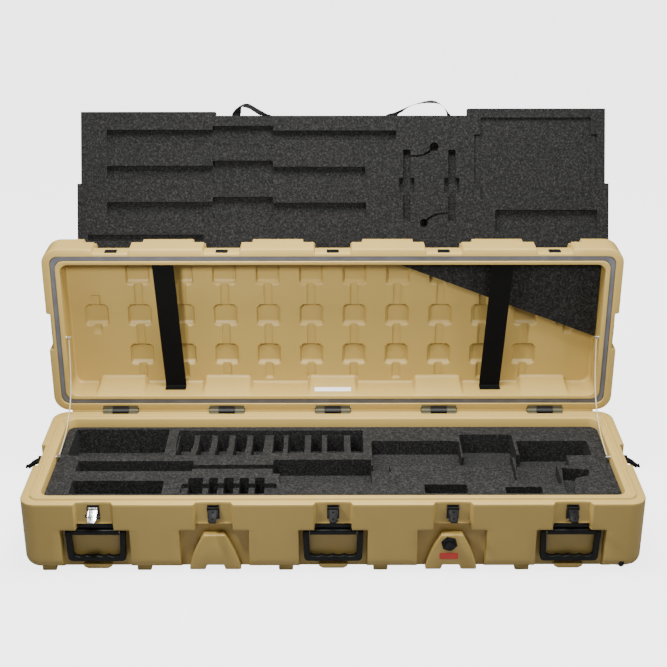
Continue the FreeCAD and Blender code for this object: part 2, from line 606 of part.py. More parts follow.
def keepers():
    """Seven keepers on the lid: a plate with a ridge that the hook of each latch catches."""
    made = []
    for spot in FRONT_PLACES:
        centre = f"latch_pitch * {spot}"
        wall = f"{LID_TOP} - 11"
        plate = block(f"keeper_{spot + 3}_plate", (f"{centre} - 15", f"{centre} + 15"),
                      ("lid_front + 5", "lid_front + 24"),
                      (wall, f"{wall} + 1.6"))
        ridge = block(f"keeper_{spot + 3}_ridge", (f"{centre} - 13", f"{centre} + 13"),
                      ("lid_front + 12", "lid_front + 19"),
                      (wall, f"{wall} + 3.6"))
        made.append(group(f"keeper_{spot + 3}", [plate, ridge]))
    for side, word in ((-1, "left"), (1, "right")):
        def out(depth):
            near, far = f"{HALF_X} - end_pad_depth", f"{HALF_X} - end_pad_depth + {depth}"
            return (near, far) if side > 0 else (f"-({far})", f"-({near})")
        plate = block(f"keeper_{word}_plate", out(1.6), ("lid_front + 5", "lid_front + 24"),
                      (f"{LID_MIDDLE} - 15", f"{LID_MIDDLE} + 15"))
        ridge = block(f"keeper_{word}_ridge", out(3.6), ("lid_front + 12", "lid_front + 19"),
                      (f"{LID_MIDDLE} - 13", f"{LID_MIDDLE} + 13"))
        made.append(group(f"keeper_{word}", [plate, ridge]))
    keep("latch_keepers", cluster("keepers", made))


for latch_name in WING_ANGLES:
    latch(latch_name)
keepers()

# ---------------------------------------------------------------- handles


def handle_frame(spot):
    """Where a handle sits: x across it, y into the wall from the back of its bay, z up."""
    if spot in ("left", "right"):
        side = -1 if spot == "left" else 1
        return Placement(Vector(side * (DIMENSIONS["case_length"] / 2 - DIMENSIONS["bay_depth"]), 0, 0),
                         Rotation(Vector(0, 0, 1), side * 90))
    centre = DIMENSIONS["latch_pitch"] * (int(spot) - 3)
    return Placement(Vector(centre, -DIMENSIONS["case_width"] / 2 + DIMENSIONS["bay_depth"], 0),
                     Rotation())


def handle(spot):
    """A bail handle that hangs from a bracket, and its bracket."""
    tag = f"handle_{spot}"
    pin = "handle_pin_height"
    plates = [block(f"{tag}_plate_{n}", (f"-({wide})", wide), (f"-{thick}", "0"),
                    (f"{pin} + {low}", f"{pin} + {high}"))
              for n, (wide, thick, low, high) in enumerate((("bracket_width / 2", 3, -8, 9),
                                                            ("42", 8, 8, 22)))]
    cheek = block(tag + "_cheek", ("-bracket_width / 2 - 5", "bracket_width / 2 + 5"),
                  ("-handle_stand - 5", "-2"),
                  (f"{pin} - 7", f"{pin} + 7"))
    axle = rod(tag + "_axle", "3", "bracket_width + 28", "-bracket_width / 2 - 14", "-handle_stand", pin,
               (1, 0, 0))
    bolts = [rod(f"{tag}_bolt_{n}", "4", "9.5", x, "0", f"{pin} + 15", (0, -1, 0))
             for n, x in enumerate(("-34", "34"))]
    mount = group(tag + "_bracket_fuse", plates + [cheek, axle] + bolts)
    mount.Placement = handle_frame(spot)
    keep(f"handle_bracket_{spot}", mount)

    half = "handle_width / 2"
    depth = ("-handle_stand - handle_thick / 2", "-handle_stand + handle_thick / 2")
    arms = [block(f"{tag}_arm_{n}", x, depth, (f"{pin} - handle_drop", f"{pin} + 6"))
            for n, x in enumerate(((f"-({half})", f"-({half}) + arm_breadth"),
                                   (f"{half} - arm_breadth", half)))]
    grip = block(tag + "_bar", (f"-({half})", half), depth,
                 (f"{pin} - handle_drop", f"{pin} - handle_drop + grip_height"))
    bore = rod(tag + "_bore", "3 + running_gap", "bracket_width + 29", "-bracket_width / 2 - 14.5",
               "-handle_stand",
               pin, (1, 0, 0))
    bail = cut(tag + "_bail", group(tag + "_bail_fuse", arms + [grip]), [bore])
    bail.Placement = handle_frame(spot)
    keep(f"handle_{spot}", bail)


for handle_name in ("1", "3", "5", "left", "right"):
    handle(handle_name)

# ---------------------------------------------------------------- pressure valve and red label


def valve_and_label():
    centre = "latch_pitch - 6"
    face = f"-({HALF_Y}) + 3"
    flange = rod("valve_flange", "valve_radius", "4", centre, face, "valve_height", (0, -1, 0))
    collar = rod("valve_collar", "valve_radius - 5", "9", centre, face, "valve_height", (0, -1, 0))
    bore = rod("valve_bore", "valve_radius - 9", "8", centre, f"{face} - 2", "valve_height", (0, -1, 0))
    keep("valve_body", cut("valve_body_cut", group("valve_body_fuse", [flange, collar]), [bore]))
    keep("valve_button", rod("valve_plunger", "valve_radius - 9.4", "9.5", centre, f"{face} - 4.5",
                             "valve_height", (0, -1, 0)))
    keep("red_label", block("label_plate", (f"{centre} - 22", f"{centre} + 22"), (f"{face} - 0.8", face),
                            ("38", "55")))


valve_and_label()

# ---------------------------------------------------------------- foam tray


def tray_placement():
    """The tray leans back behind the open lid: its own frame has y through it and z up it."""
    return Placement(Vector(DIMENSIONS["tray_shift"], DIMENSIONS["tray_y"], DIMENSIONS["tray_z"]),
                     Rotation(Vector(1, 0, 0), -DIMENSIONS["tray_lean"]))


# Cut-outs of the tray's face, from its middle and bottom edge: (x from, x to, z from, z to, depth).
TRAY_POCKETS = [
    (-607, -334, 279, 312, 16), (-335, -180, 271, 322, 16), (-181, 136, 286, 310, 16),
    (-607, -334, 186, 220, 16), (-335, -180, 175, 233, 16), (-181, 57, 192, 217, 16),
    (-607, -334, 96, 127, 16), (-335, -180, 84, 140, 16), (-181, 59, 99, 125, 16),
    (154, 173, 78, 261, 16), (144, 183, 150, 189, 16), (270, 289, 78, 261, 16), (260, 299, 150, 189, 16),
    (353, 637, 132, 343, 7), (337, 653, 172, 300, 7), (391, 654, 55, 106, 14), (-657, -359, 27, 43, 12),
]


def tray():
    """A face layer with cut-outs glued to a backing layer, and two lifting loops."""
    half = "tray_length / 2"
    lower = block("tray_lower", (f"-({half})", half), ("0", "tray_face"), ("0", "tray_height / 2"))
    upper = block("tray_upper", (f"-({half}) + 10", f"{half} - 10"), ("0", "tray_face"),
                  ("tray_height / 2 - 1", "tray_height"))
    left = block("tray_top_left", (f"-({half}) + 10", "-327"), ("0", "tray_face"),
                 ("tray_height - 1", "tray_height + 10"))
    right = block("tray_top_right", ("319", f"{half} - 10"), ("0", "tray_face"),
                  ("tray_height - 1", "tray_height + 18"))
    cuts = [block(f"tray_pocket_{n}", (str(p[0]), str(p[1])), ("-1", str(p[4])), (str(p[2]), str(p[3])))
            for n, p in enumerate(TRAY_POCKETS, start=1)]
    cuts += [rod("tray_hole_1", "11.5", "17", "234", "-1", "268", (0, 1, 0)),
             rod("tray_hole_2", "10.5", "17", "208", "-1", "73", (0, 1, 0))]
    face = cut("tray_face_cut", group("tray_face_fuse", [lower, upper, left, right]), cuts)
    face.Placement = tray_placement()
    keep("tray_face", face)
    backing = cluster("tray_backing_layer", [
        block("tray_back_sheet", (f"-({half}) + 12", f"{half} - 12"),
              ("tray_face", "tray_face + tray_back"),
              ("0", "tray_height - 4"))])
    backing.Placement = tray_placement()
    keep("tray_backing", backing)


tray()


def webbing_loop(word, x_low, x_high, rise, width):
    """A loop of webbing that stands up from the tray's top edge between two points."""
    thick, y = 1.5, DIMENSIONS["tray_face"] + DIMENSIONS["tray_back"] + 0.2
    top = DIMENSIONS["tray_height"]
    middle = (x_low + x_high) / 2
    inner, outer = [], []
    for step in range(13):
        u = step / 12
        x = x_low + (x_high - x_low) * u
        z = top + rise * math.sin(math.pi * u) ** 0.75
        inner.append((x, y, z - width))
        outer.append((x, y, z))
    outline = [(x_low, y, top - 60)] + outer + [(x_high, y, top - 60), (x_high - width, y, top - 60)]
    outline += [(middle + (x - middle) * (1 - 2 * width / (x_high - x_low)), y, z) for x, y,
                z in reversed(inner[1:-1])]
    outline += [(x_low + width, y, top - 60)]
    loop = prism(f"{word}_loop_outline", outline, (0, thick, 0))
    loop.Placement = tray_placement()
    return keep(f"{word}_loop", loop)


webbing_loop("left", -288, -185, 36, 22)
webbing_loop("right", 108, 280, 44, 22)

# ---------------------------------------------------------------- wheels


def wheels():
    """Two transport wheels at the right end, each on its own axle across its well."""
    axles = []
    for side, word in ((-1, "front"), (1, "rear")):
        y = f"{side} * ({HALF_Y} - 41)"
        x, z = f"{HALF_X} - 50", "wheel_radius + 0.5"
        disc = rod(f"{word}_disc", "wheel_radius", "wheel_width", x, f"{y} - wheel_width / 2", z,
                   (0, 1, 0))
        bore = rod(f"{word}_wheel_bore", "axle_radius + running_gap", "wheel_width + 2", x,
                   f"{y} - wheel_width / 2 - 1", z, (0, 1, 0))
        keep(f"{word}_wheel", cut(f"{word}_wheel_cut", disc, [bore]))
        shaft = rod(f"{word}_axle_shaft", "axle_radius", "72", x,
                    f"{HALF_Y} - 80" if side > 0 else f"-({HALF_Y}) + 8", z, (0, 1, 0))
        head = rod(f"{word}_axle_head", "axle_radius + 3", "5", x,
                   f"{HALF_Y} - 8" if side > 0 else f"-({HALF_Y}) + 3", z, (0, 1, 0))
        axles.append(group(f"{word}_axle", [shaft, head]))
    keep("wheel_axles", cluster("axles", axles))


wheels()

# ---------------------------------------------------------------- lid cables

# Each cable runs from an eye in the base's end wall to an eye in the lid's end wall.
LEFT_CABLE = [(-679, 16, 181), (-678, 62, 187), (-677, 111, 200), (-677, 156, 221), (-677, 192, 253),
              (-678, 216, 296), (-679, 230, 345), (-680, 240, 391)]
RIGHT_CABLE = [(679, 11, 181), (678, 57, 188), (677, 104, 203), (677, 147, 227), (677, 184, 260),
               (678, 210, 302), (679, 228, 347), (680, 240, 391)]


def cable(name, points):
    """Straight runs joined by tangent arcs, each arc as large as its two runs allow."""
    route = [Vector(*point) for point in points]
    edges, start = [], route[0]
    for before, corner, after in zip(route, route[1:], route[2:]):
        into, out = (corner - before), (after - corner)
        turn = into.getAngle(out)
        reach = 0.45 * min(into.Length, out.Length)
        radius = reach / math.tan(turn / 2)
        first = corner - into.normalize() * reach
        last = corner + out.normalize() * reach
        inward = (out - into).normalize()
        depth = radius / math.cos(turn / 2) - radius
        edges += [Part.LineSegment(start, first).toShape(),
                  Part.Arc(first, corner + inward * depth, last).toShape()]
        print(name, "radius", round(radius, 1))
        start = last
    edges.append(Part.LineSegment(start, route[-1]).toShape())
    path = Part.Wire(edges)
    circle = Part.Circle(route[0], route[1] - route[0], DIMENSIONS["cable_radius"])
    tube = path.makePipeShell([Part.Wire(circle.toShape())], True, False)
    length = path.Length
    print(name, "length", round(length, 1), "volume ratio",
          round(tube.Volume / (math.pi * DIMENSIONS["cable_radius"] ** 2 * length), 4))
    item = doc.addObject("Part::Feature", name)
    item.Shape = tube
    return keep(name, item)


cable("left_lid_cable", LEFT_CABLE)
cable("right_lid_cable", RIGHT_CABLE)


def cable_eyes():
    """A short stud in the end wall at each end of a cable."""
    wall = f"{HALF_X} - end_flange"
    for label, where in (("base_cable_eyes", ((-1, 16 - 5, 179), (1, 11 - 5, 179))),
                         ("lid_cable_eyes", ((-1, 241.5, 396.5), (1, 241.5, 396.5)))):
        studs = []
        for side, y, z in where:
            start = wall if side > 0 else f"-({wall})"
            studs.append(rod(f"{label}_{side + 1}", "stud_radius", "11", start, str(y), str(z),
                             (-side, 0, 0)))
        keep(label, cluster(label + "_set", studs))


cable_eyes()

# ---------------------------------------------------------------- check and export

doc.recompute()
for item in doc.Objects:
    if "Invalid" in item.State or "Error" in item.State:
        raise RuntimeError(f"{item.Name}: {item.State}")
for item in parts:
    if item.Shape.isNull() or not item.Shape.isValid():
        raise RuntimeError(f"{item.Label}: shape is null or invalid")
os.makedirs("parts", exist_ok=True)
for item in parts:
    item.Shape.exportStep(os.path.join("parts", item.Label + ".step"))
print(len(parts), "parts written")
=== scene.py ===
import json
import math

import bmesh
import bpy
import numpy as np
from mathutils import Euler, Matrix, Vector


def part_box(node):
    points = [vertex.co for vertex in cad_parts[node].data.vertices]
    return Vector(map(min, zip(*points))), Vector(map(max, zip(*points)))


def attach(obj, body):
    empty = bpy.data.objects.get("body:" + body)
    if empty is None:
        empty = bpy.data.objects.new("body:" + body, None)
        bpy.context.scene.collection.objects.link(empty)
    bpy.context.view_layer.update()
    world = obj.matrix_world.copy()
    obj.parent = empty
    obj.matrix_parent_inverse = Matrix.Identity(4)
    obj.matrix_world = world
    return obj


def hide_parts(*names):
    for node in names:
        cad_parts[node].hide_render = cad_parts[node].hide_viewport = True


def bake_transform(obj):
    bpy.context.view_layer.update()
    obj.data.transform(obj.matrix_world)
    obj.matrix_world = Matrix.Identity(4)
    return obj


# A long hard equipment case, open, with cut foam in its base and a foam tray leaning behind its lid.
# Lengths in this script are millimetres in the row frame, and MM turns them into Blender's metres.
MM = 0.001

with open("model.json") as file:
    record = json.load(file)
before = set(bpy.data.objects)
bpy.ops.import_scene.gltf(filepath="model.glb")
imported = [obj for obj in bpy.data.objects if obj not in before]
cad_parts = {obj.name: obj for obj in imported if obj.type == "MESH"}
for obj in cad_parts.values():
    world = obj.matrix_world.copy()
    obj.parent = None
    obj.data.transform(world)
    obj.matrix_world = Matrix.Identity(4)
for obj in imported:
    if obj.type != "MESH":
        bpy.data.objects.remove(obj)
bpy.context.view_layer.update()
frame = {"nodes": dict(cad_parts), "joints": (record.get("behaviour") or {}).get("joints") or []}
nodes = frame["nodes"]
joints = {joint["name"]: joint for joint in frame["joints"]}


def corners(node):
    """Lowest and highest corner of a CAD node in millimetres."""
    low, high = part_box(node)
    return low / MM, high / MM


_, shell_high = corners("base_shell")
lid_low, lid_high = corners("lid_shell")
HALF_X = shell_high.x
HALF_Y = shell_high.y
PARTING = 190.0
FOOT = 8.0
PLAN_RADIUS = 40.0
MOUTH_RADIUS = 22.0
END_FLANGE = 44.0
SIDE_FLANGE = 42.5
TONGUE_INSET = 26.0
LID_FRONT = lid_low.y
LID_MIDDLE = lid_high.z - HALF_Y
LID_BACK = LID_FRONT + 85.0
PANEL = LID_FRONT + 79.0
FOAM_TOP = corners("base_foam")[1].z
LATCH_PITCH = 278.0
HINGE_PITCH = 278.5
PLACES = (-2, -1, 0, 1, 2)
HANDLE_PLACES = (-2, 0, 2)
BOSS_PITCH = 112.0
RAMP_RISE = 17.0
BOSS_ROWS = (552.0, 436.0, 323.0)

# ---------------------------------------------------------------- materials


class Paint:
    """A node material under construction: a Principled shader with named helpers around it."""

    def __init__(self, name, colour, roughness, metallic=0.0):
        self.material = bpy.data.materials.new(name)
        self.material.use_nodes = True
        self.tree = self.material.node_tree
        self.shader = self.tree.nodes["Principled BSDF"]
        self.shader.inputs["Base Color"].default_value = (*colour, 1)
        self.shader.inputs["Roughness"].default_value = roughness
        self.shader.inputs["Metallic"].default_value = metallic
        self.where = self.tree.nodes.new("ShaderNodeTexCoord").outputs["Object"]

    def node(self, kind, **settings):
        made = self.tree.nodes.new(kind)
        for key, value in settings.items():
            if key in made.inputs:
                made.inputs[key].default_value = value
            else:
                setattr(made, key, value)
        return made

    def link(self, out, into):
        self.tree.links.new(out, into)

    def noise(self, scale, detail=2.0, roughness=0.5):
        made = self.node("ShaderNodeTexNoise", Scale=scale, Detail=detail, Roughness=roughness)
        self.link(self.where, made.inputs["Vector"])
        return made.outputs["Fac"]

    def ramp(self, source, stops):
        made = self.node("ShaderNodeValToRGB")
        band = made.color_ramp
        while len(band.elements) < len(stops):
            band.elements.new(0.5)
        for element, (position, colour) in zip(band.elements, stops):
            element.position = position
            element.color = (*colour, 1) if hasattr(colour, "__len__") else (colour, colour, colour, 1)
        self.link(source, made.inputs["Fac"])
        return made.outputs["Color"]

    def colour(self, source):
        self.link(source, self.shader.inputs["Base Color"])

    def rough(self, source):
        self.link(source, self.shader.inputs["Roughness"])

    def bump(self, source, depth, strength=1.0):
        made = self.node("ShaderNodeBump", Strength=strength, Distance=depth * MM)
        self.link(source, made.inputs["Height"])
        self.link(made.outputs["Normal"], self.shader.inputs["Normal"])


def shell_material():
    paint = Paint("tan_moulded_plastic", (0.46, 0.318, 0.088), 0.4)
    broad = paint.ramp(paint.noise(5.0, 3.0), [(0.3, (0.445, 0.308, 0.085)), (0.7, (0.475, 0.328, 0.091))])
    paint.colour(broad)
    paint.rough(paint.ramp(paint.noise(60.0, 3.0), [(0.3, 0.36), (0.7, 0.50)]))
    paint.bump(paint.noise(700.0, 2.0), 0.12, 0.35)
    return paint.material


def foam_material(name, base):
    """Closed-cell foam: charcoal with light and dark cells about a millimetre across."""
    paint = Paint(name, (base, base, base), 0.95)
    both = paint.node("ShaderNodeMath", operation="MULTIPLY_ADD")
    paint.link(paint.noise(450.0, 3.0, 0.7), both.inputs[0])
    both.inputs[1].default_value = 0.5
    half = paint.node("ShaderNodeMath", operation="MULTIPLY")
    paint.link(paint.noise(190.0, 3.0, 0.65), half.inputs[0])
    half.inputs[1].default_value = 0.5
    paint.link(half.outputs["Value"], both.inputs[2])
    grain = paint.ramp(both.outputs["Value"], [
        (0.40, (base * 0.4, base * 0.4, base * 0.4)), (0.495, (base * 0.9, base * 0.9, base * 0.88)),
        (0.56, (base * 1.7, base * 1.7, base * 1.62)), (0.63, (base * 3.2, base * 3.1, base * 2.9))])
    paint.colour(grain)
    paint.bump(paint.noise(520.0, 3.0, 0.7), 0.5, 0.7)
    paint.shader.inputs["Specular IOR Level"].default_value = 0.15
    return paint.material


def webbing_material():
    """Black webbing with fine ribs along and across it."""
    paint = Paint("black_webbing", (0.012, 0.012, 0.014), 0.8)
    ribs = []
    for direction, scale in (("X", 320.0), ("Z", 260.0)):
        wave = paint.node("ShaderNodeTexWave", Scale=scale, bands_direction=direction)
        paint.link(paint.where, wave.inputs["Vector"])
        ribs.append(wave.outputs["Fac"])
    both = paint.node("ShaderNodeMath", operation="MULTIPLY")
    paint.link(ribs[0], both.inputs[0])
    paint.link(ribs[1], both.inputs[1])
    paint.colour(paint.ramp(both.outputs["Value"], [(0.0, 0.002), (1.0, 0.008)]))
    paint.bump(both.outputs["Value"], 0.25, 0.6)
    paint.shader.inputs["Specular IOR Level"].default_value = 0.1
    return paint.material


def plain_material(name, colour, roughness, metallic=0.0, grain=300.0, depth=0.05, spread=0.12, shine=0.5):
    """A hard material with fine grain in its bump, a little wear in its roughness and colour."""
    paint = Paint(name, colour, roughness, metallic)
    dark = tuple(value * (1 - spread) for value in colour)
    light = tuple(min(1.0, value * (1 + spread)) for value in colour)
    paint.colour(paint.ramp(paint.noise(25.0, 3.0), [(0.35, dark), (0.65, light)]))
    smooth, worn = max(0.05, roughness - 0.08), roughness + 0.08
    paint.rough(paint.ramp(paint.noise(90.0, 3.0), [(0.3, smooth), (0.7, worn)]))
    paint.bump(paint.noise(grain, 2.0), depth, 0.4)
    paint.shader.inputs["Specular IOR Level"].default_value = shine
    return paint.material


def hinge_leaf_shade_material():
    """The hinges: black at the middle of each, and to both sides a dark olive that is painted shade, the
    shell's tan as it looks in shadow.
    """
    paint = Paint("hinge_black_and_painted_shade", (0.02, 0.02, 0.02), 0.65)
    apart = paint.node("ShaderNodeSeparateXYZ")
    paint.link(paint.where, apart.inputs["Vector"])
    fold = paint.node("ShaderNodeMath", operation="PINGPONG")
    paint.link(apart.outputs["X"], fold.inputs[0])
    fold.inputs[1].default_value = HINGE_PITCH / 2 * MM
    # More than 21 mm from each hinge's middle the colour is painted shade: dark olive standing for the
    # shadowed hinge slot.
    paint.colour(paint.ramp(fold.outputs["Value"], [(0.021, 0.010), (0.022, (0.075, 0.068, 0.034))]))
    return paint.material


TAN = shell_material()
HINGE_BLACK_AND_PAINTED_SHADE = hinge_leaf_shade_material()
FOAM = foam_material("charcoal_foam", 0.017)
# The tray's foam is the base's charcoal foam made darker: painted shade for the dimmer look of the tray's
# face, which gets less of the overhead light.
TRAY_FOAM_WITH_PAINTED_SHADE = foam_material("charcoal_tray_foam_painted_shade", 0.0105)
WEBBING = webbing_material()
# A dark olive colour for sheets that stand for the shadow behind the hinge slots: painted shade.
HINGE_PAINTED_SHADE = plain_material("olive_painted_hinge_shade", (0.075, 0.068, 0.034), 0.65)
BLACKENED = plain_material("blackened_steel", (0.005, 0.005, 0.005), 0.5, shine=0.08)
GASKET = plain_material("grey_gasket_rubber", (0.115, 0.115, 0.125), 0.6, grain=500.0, depth=0.1)
BLACK_METAL = plain_material("black_painted_metal", (0.006, 0.006, 0.007), 0.38, shine=0.3)
BRIGHT = plain_material("bright_steel", (0.72, 0.72, 0.72), 0.26, 1.0, grain=600.0, depth=0.02)
BLACK_RUBBER = plain_material("black_handle_rubber", (0.005, 0.0055, 0.0055), 0.4, grain=900.0, depth=0.1,
                              shine=0.22)
TYRE = plain_material("black_tyre", (0.012, 0.012, 0.012), 0.6, grain=500.0, depth=0.15)
RED = plain_material("red_plate", (0.62, 0.045, 0.03), 0.4)
WHITE = plain_material("white_tape", (0.82, 0.82, 0.80), 0.5, spread=0.03)
CREAM = plain_material("cream_cable", (0.50, 0.44, 0.30), 0.5, spread=0.05)

# ---------------------------------------------------------------- mesh helpers


def sharpen(mesh, degrees):
    """Smooth shading with edges sharper than the angle kept crisp."""
    work = bmesh.new()
    work.from_mesh(mesh)
    limit = math.radians(degrees)
    for face in work.faces:
        face.smooth = True
    for edge in work.edges:
        edge.smooth = len(edge.link_faces) == 2 and edge.calc_face_angle(0) < limit
    work.to_mesh(mesh)
    work.free()


def make(name, points, faces, material, degrees=35, placement=None):
    """A mesh object from points in millimetres."""
    mesh = bpy.data.meshes.new(name)
    placed = [placement @ Vector(point) if placement else Vector(point) for point in points]
    mesh.from_pydata([point * MM for point in placed], [], faces)
    work = bmesh.new()
    work.from_mesh(mesh)
    bmesh.ops.remove_doubles(work, verts=work.verts, dist=1e-6)
    bmesh.ops.recalc_face_normals(work, faces=work.faces)
    work.to_mesh(mesh)
    work.free()
    sharpen(mesh, degrees)
    mesh.materials.append(material)
    item = bpy.data.objects.new(name, mesh)
    bpy.context.scene.collection.objects.link(item)
    return item


def apply_modifiers(item, degrees=35):
    """Bakes an object's modifiers into its mesh."""
    bpy.context.view_layer.update()
    done = item.evaluated_get(bpy.context.evaluated_depsgraph_get())
    mesh = bpy.data.meshes.new_from_object(done)
    item.modifiers.clear()
    item.data = mesh
    sharpen(mesh, degrees)
    return item


def bevel(item, width, segments=3, angle=40, degrees=35):
    made = item.modifiers.new("soft_edges", "BEVEL")
    made.width = width * MM
    made.segments = segments
    made.limit_method = "ANGLE"
    made.angle_limit = math.radians(angle)
    made.harden_normals = False
    return apply_modifiers(item, degrees)


def join(name, items):
    """One object from several, with their meshes side by side."""
    work = bmesh.new()
    materials = []
    for item in items:
        start = len(work.faces)
        work.from_mesh(item.data)
        work.faces.ensure_lookup_table()
        for material in item.data.materials:
            if material not in materials:
                materials.append(material)
        slots = [materials.index(material) for material in item.data.materials]
        for face in work.faces[start:]:
            face.material_index = slots[face.material_index]
    mesh = bpy.data.meshes.new(name)
    work.to_mesh(mesh)
    work.free()
    for material in materials:
        mesh.materials.append(material)
    for item in items:
        bpy.data.objects.remove(item)
    joined = bpy.data.objects.new(name, mesh)
    bpy.context.scene.collection.objects.link(joined)
    return joined


def rounded_outline(points, radius, steps=5):
    """A closed outline with its corners turned into arcs: radius is one number or one for each corner."""
    count = len(points)
    radii = radius if hasattr(radius, "__len__") else [radius] * count
    made = []
    for index in range(count):
        corner = Vector(points[index]).to_2d()
        before, after = Vector(points[index - 1]).to_2d(), Vector(points[(index + 1) % count]).to_2d()
        into, out = (corner - before), (after - corner)
        turn = into.angle(out, 0.0)
        if turn < 0.02 or radii[index] <= 0:
            made.append(corner)
            continue
        reach = min(radii[index] * math.tan(turn / 2), 0.48 * into.length, 0.48 * out.length)
        first, last = corner - into.normalized() * reach, corner + out.normalized() * reach
        for step in range(steps + 1):
            u = step / steps
            made.append(first * (1 - u) ** 2 + corner * 2 * u * (1 - u) + last * u * u)
    return made


def prism(name, outline, low, high, material, axes="xyz", degrees=35, placement=None):
    """An outline in the first two axes, swept between low and high along the third."""
    def at(point, level):
        value = dict(zip(axes, (point[0], point[1], level)))
        return (value["x"], value["y"], value["z"])
    count = len(outline)
    points = [at(point, low) for point in outline] + [at(point, high) for point in outline]
    faces = [list(range(count)), list(range(count, 2 * count))[::-1]]
    faces += [[i, (i + 1) % count, count + (i + 1) % count, count + i] for i in range(count)]
    return make(name, points, faces, material, degrees, placement)


def box_outline(x_low, x_high, y_low, y_high, radius=0.0):
    points = [(x_low, y_low), (x_high, y_low), (x_high, y_high), (x_low, y_high)]
    return rounded_outline(points, radius) if radius else [Vector(point) for point in points]


def soft_box(name, low, high, material, edge=1.0, segments=2, placement=None):
    """A box with bevelled edges."""
    item = prism(name, box_outline(low[0], high[0], low[1], high[1]), low[2], high[2], material,
                 placement=placement)
    return bevel(item, edge, segments) if edge else item


def turned(name, profile, centre, axis, material, steps=40, degrees=35, placement=None):
    """A turned part: profile is (along, radius) pairs, from one end of its axis to the other."""
    axis = Vector(axis).normalized()
    side = axis.orthogonal().normalized()
    other = axis.cross(side)
    points, faces = [], []
    for along, radius in profile:
        for step in range(steps):
            angle = 2 * math.pi * step / steps
            points.append(Vector(centre) + axis * along
                          + (side * math.cos(angle) + other * math.sin(angle)) * radius)
    for row in range(len(profile) - 1):
        for step in range(steps):
            a, b = row * steps + step, row * steps + (step + 1) % steps
            faces.append([a, b, b + steps, a + steps])
    faces += [list(range(steps)), list(range((len(profile) - 1) * steps, len(profile) * steps))[::-1]]
    return make(name, points, faces, material, degrees, placement)


def subtract(item, cutters, degrees=35):
    """Takes each cutter out of item in turn."""
    for cutter in cutters:
        made = item.modifiers.new("cut", "BOOLEAN")
        made.operation = "DIFFERENCE"
        made.solver = "EXACT"
        made.object = cutter
        apply_modifiers(item, degrees)
        bpy.data.objects.remove(cutter)
    return item


def smooth(value):
    """0 below 0, 1 above 1 and a smooth step between."""
    value = np.clip(value, 0.0, 1.0)
    return value * value * (3 - 2 * value)


def inside(distance, soft):
    """1 where distance is well below zero, 0 well above it, softened over a width."""
    return smooth(0.5 - distance / soft)


def edge_lines(edges, spread=(-3, -1.5, 0, 1.5, 3)):
    """Grid lines gathered around each edge of a feature."""
    return [edge + offset for edge in edges for offset in spread]


def tidy_lines(values, low, high, gap=0.8):
    """Sorted grid lines within a range, none closer than a gap, with no stretch left coarse."""
    kept = [low]
    for value in sorted(values):
        if low + gap < value < high - gap and value - kept[-1] > gap:
            kept.append(value)
    kept.append(high)
    full = []
    for before, after in zip(kept, kept[1:]):
        parts = max(1, math.ceil((after - before) / 25.0))
        full += [before + (after - before) * part / parts for part in range(parts)]
    return full + [kept[-1]]


# ---------------------------------------------------------------- a wall swept round a rounded rectangle

SIDE_REACH_U = 660.0
SIDE_REACH_V = 160.0
ARC_STEPS = 9


def swept_wall(name, rows, stations, to_point, material, caps=False, degrees=35):
    """A wall round a rounded rectangle. Each row is (inset at the long sides, inset at the ends, level,
    corner radius, mask), where mask(side, place, level) may push the wall further in, or is None.
    stations gives each side's grid lines: low, right, high and left. caps closes the first and last row."""
    points, count = [], 0
    for inset_v, inset_u, level, radius, mask in rows:
        start = len(points)
        half_u, half_v = HALF_X - inset_u, HALF_Y - inset_v
        for side, (word, corner_u, corner_v, first_angle) in enumerate((
                ("low", 1, -1, -90), ("right", 1, 1, 0), ("high", -1, 1, 90), ("left", -1, -1, 180))):
            for place in stations[word]:
                push = mask(word, place, level) if mask else 0.0
                if word in ("low", "high"):
                    v = max(HALF_Y - half_v, push)
                    reach = max(-half_u + radius, min(half_u - radius, place))
                    points.append(to_point(reach, (v - HALF_Y) * (1 if word == "low" else -1), level))
                else:
                    u = max(HALF_X - half_u, push)
                    reach = max(-half_v + radius, min(half_v - radius, place))
                    points.append(to_point((HALF_X - u) * (1 if word == "right" else -1), reach, level))
            for step in range(ARC_STEPS + 1):
                angle = math.radians(first_angle + 90 * step / ARC_STEPS)
                points.append(to_point(corner_u * (half_u - radius) + radius * math.cos(angle),
                                       corner_v * (half_v - radius) + radius * math.sin(angle), level))
        count = len(points) - start
    faces = []
    total = len(rows) if not caps else len(rows) - 1
    for row in range(total):
        below, above = row * count, ((row + 1) % len(rows)) * count
        faces += [[below + i, below + (i + 1) % count, above + (i + 1) % count, above + i]
                  for i in range(count)]
    if caps:
        faces += [list(range(count)), list(range((len(rows) - 1) * count, len(rows) * count))]
    return make(name, points, faces, material, degrees)


def side_lines(low_edges, right_edges, high_edges, left_edges):
    reach = {"low": (low_edges, SIDE_REACH_U), "right": (right_edges, SIDE_REACH_V),
             "high": (high_edges, SIDE_REACH_U), "left": (left_edges, SIDE_REACH_V)}
    lines = {word: tidy_lines(edges, -half, half) for word, (edges, half) in reach.items()}
    lines["high"] = lines["high"][::-1]
    lines["left"] = lines["left"][::-1]
    return lines


# ---------------------------------------------------------------- base shell

PAD_TOP_WIDTH, PAD_DEPTH, PAD_FOOT = 94.0, 13.0, 132.0
NOTCH_WIDTH = 86.0
BAY_WIDTH, BAY_DEPTH, BAY_TOP = 160.0, 22.0, 118.0
END_PAD_WIDTH, END_PAD_DEPTH, END_BAY_FOOT = 100.0, 11.0, 22.0
HINGE_SLOT, SLOT_DEPTH, SLOT_FOOT = 94.0, 12.0, 132.0
ARCH_TOP, ARCH_NOTCH_WIDTH, ARCH_NOTCH_TOP, ARCH_DEPTH = 104.0, 40.0, 20.0, 3.0
EDGE_SOFT = 4.0
PAD_SLOPE = 9.0
BOTTOM_RADIUS = 30.0
WELL_LOW, WELL_HIGH = HALF_X - 77.0, HALF_X - 23.0


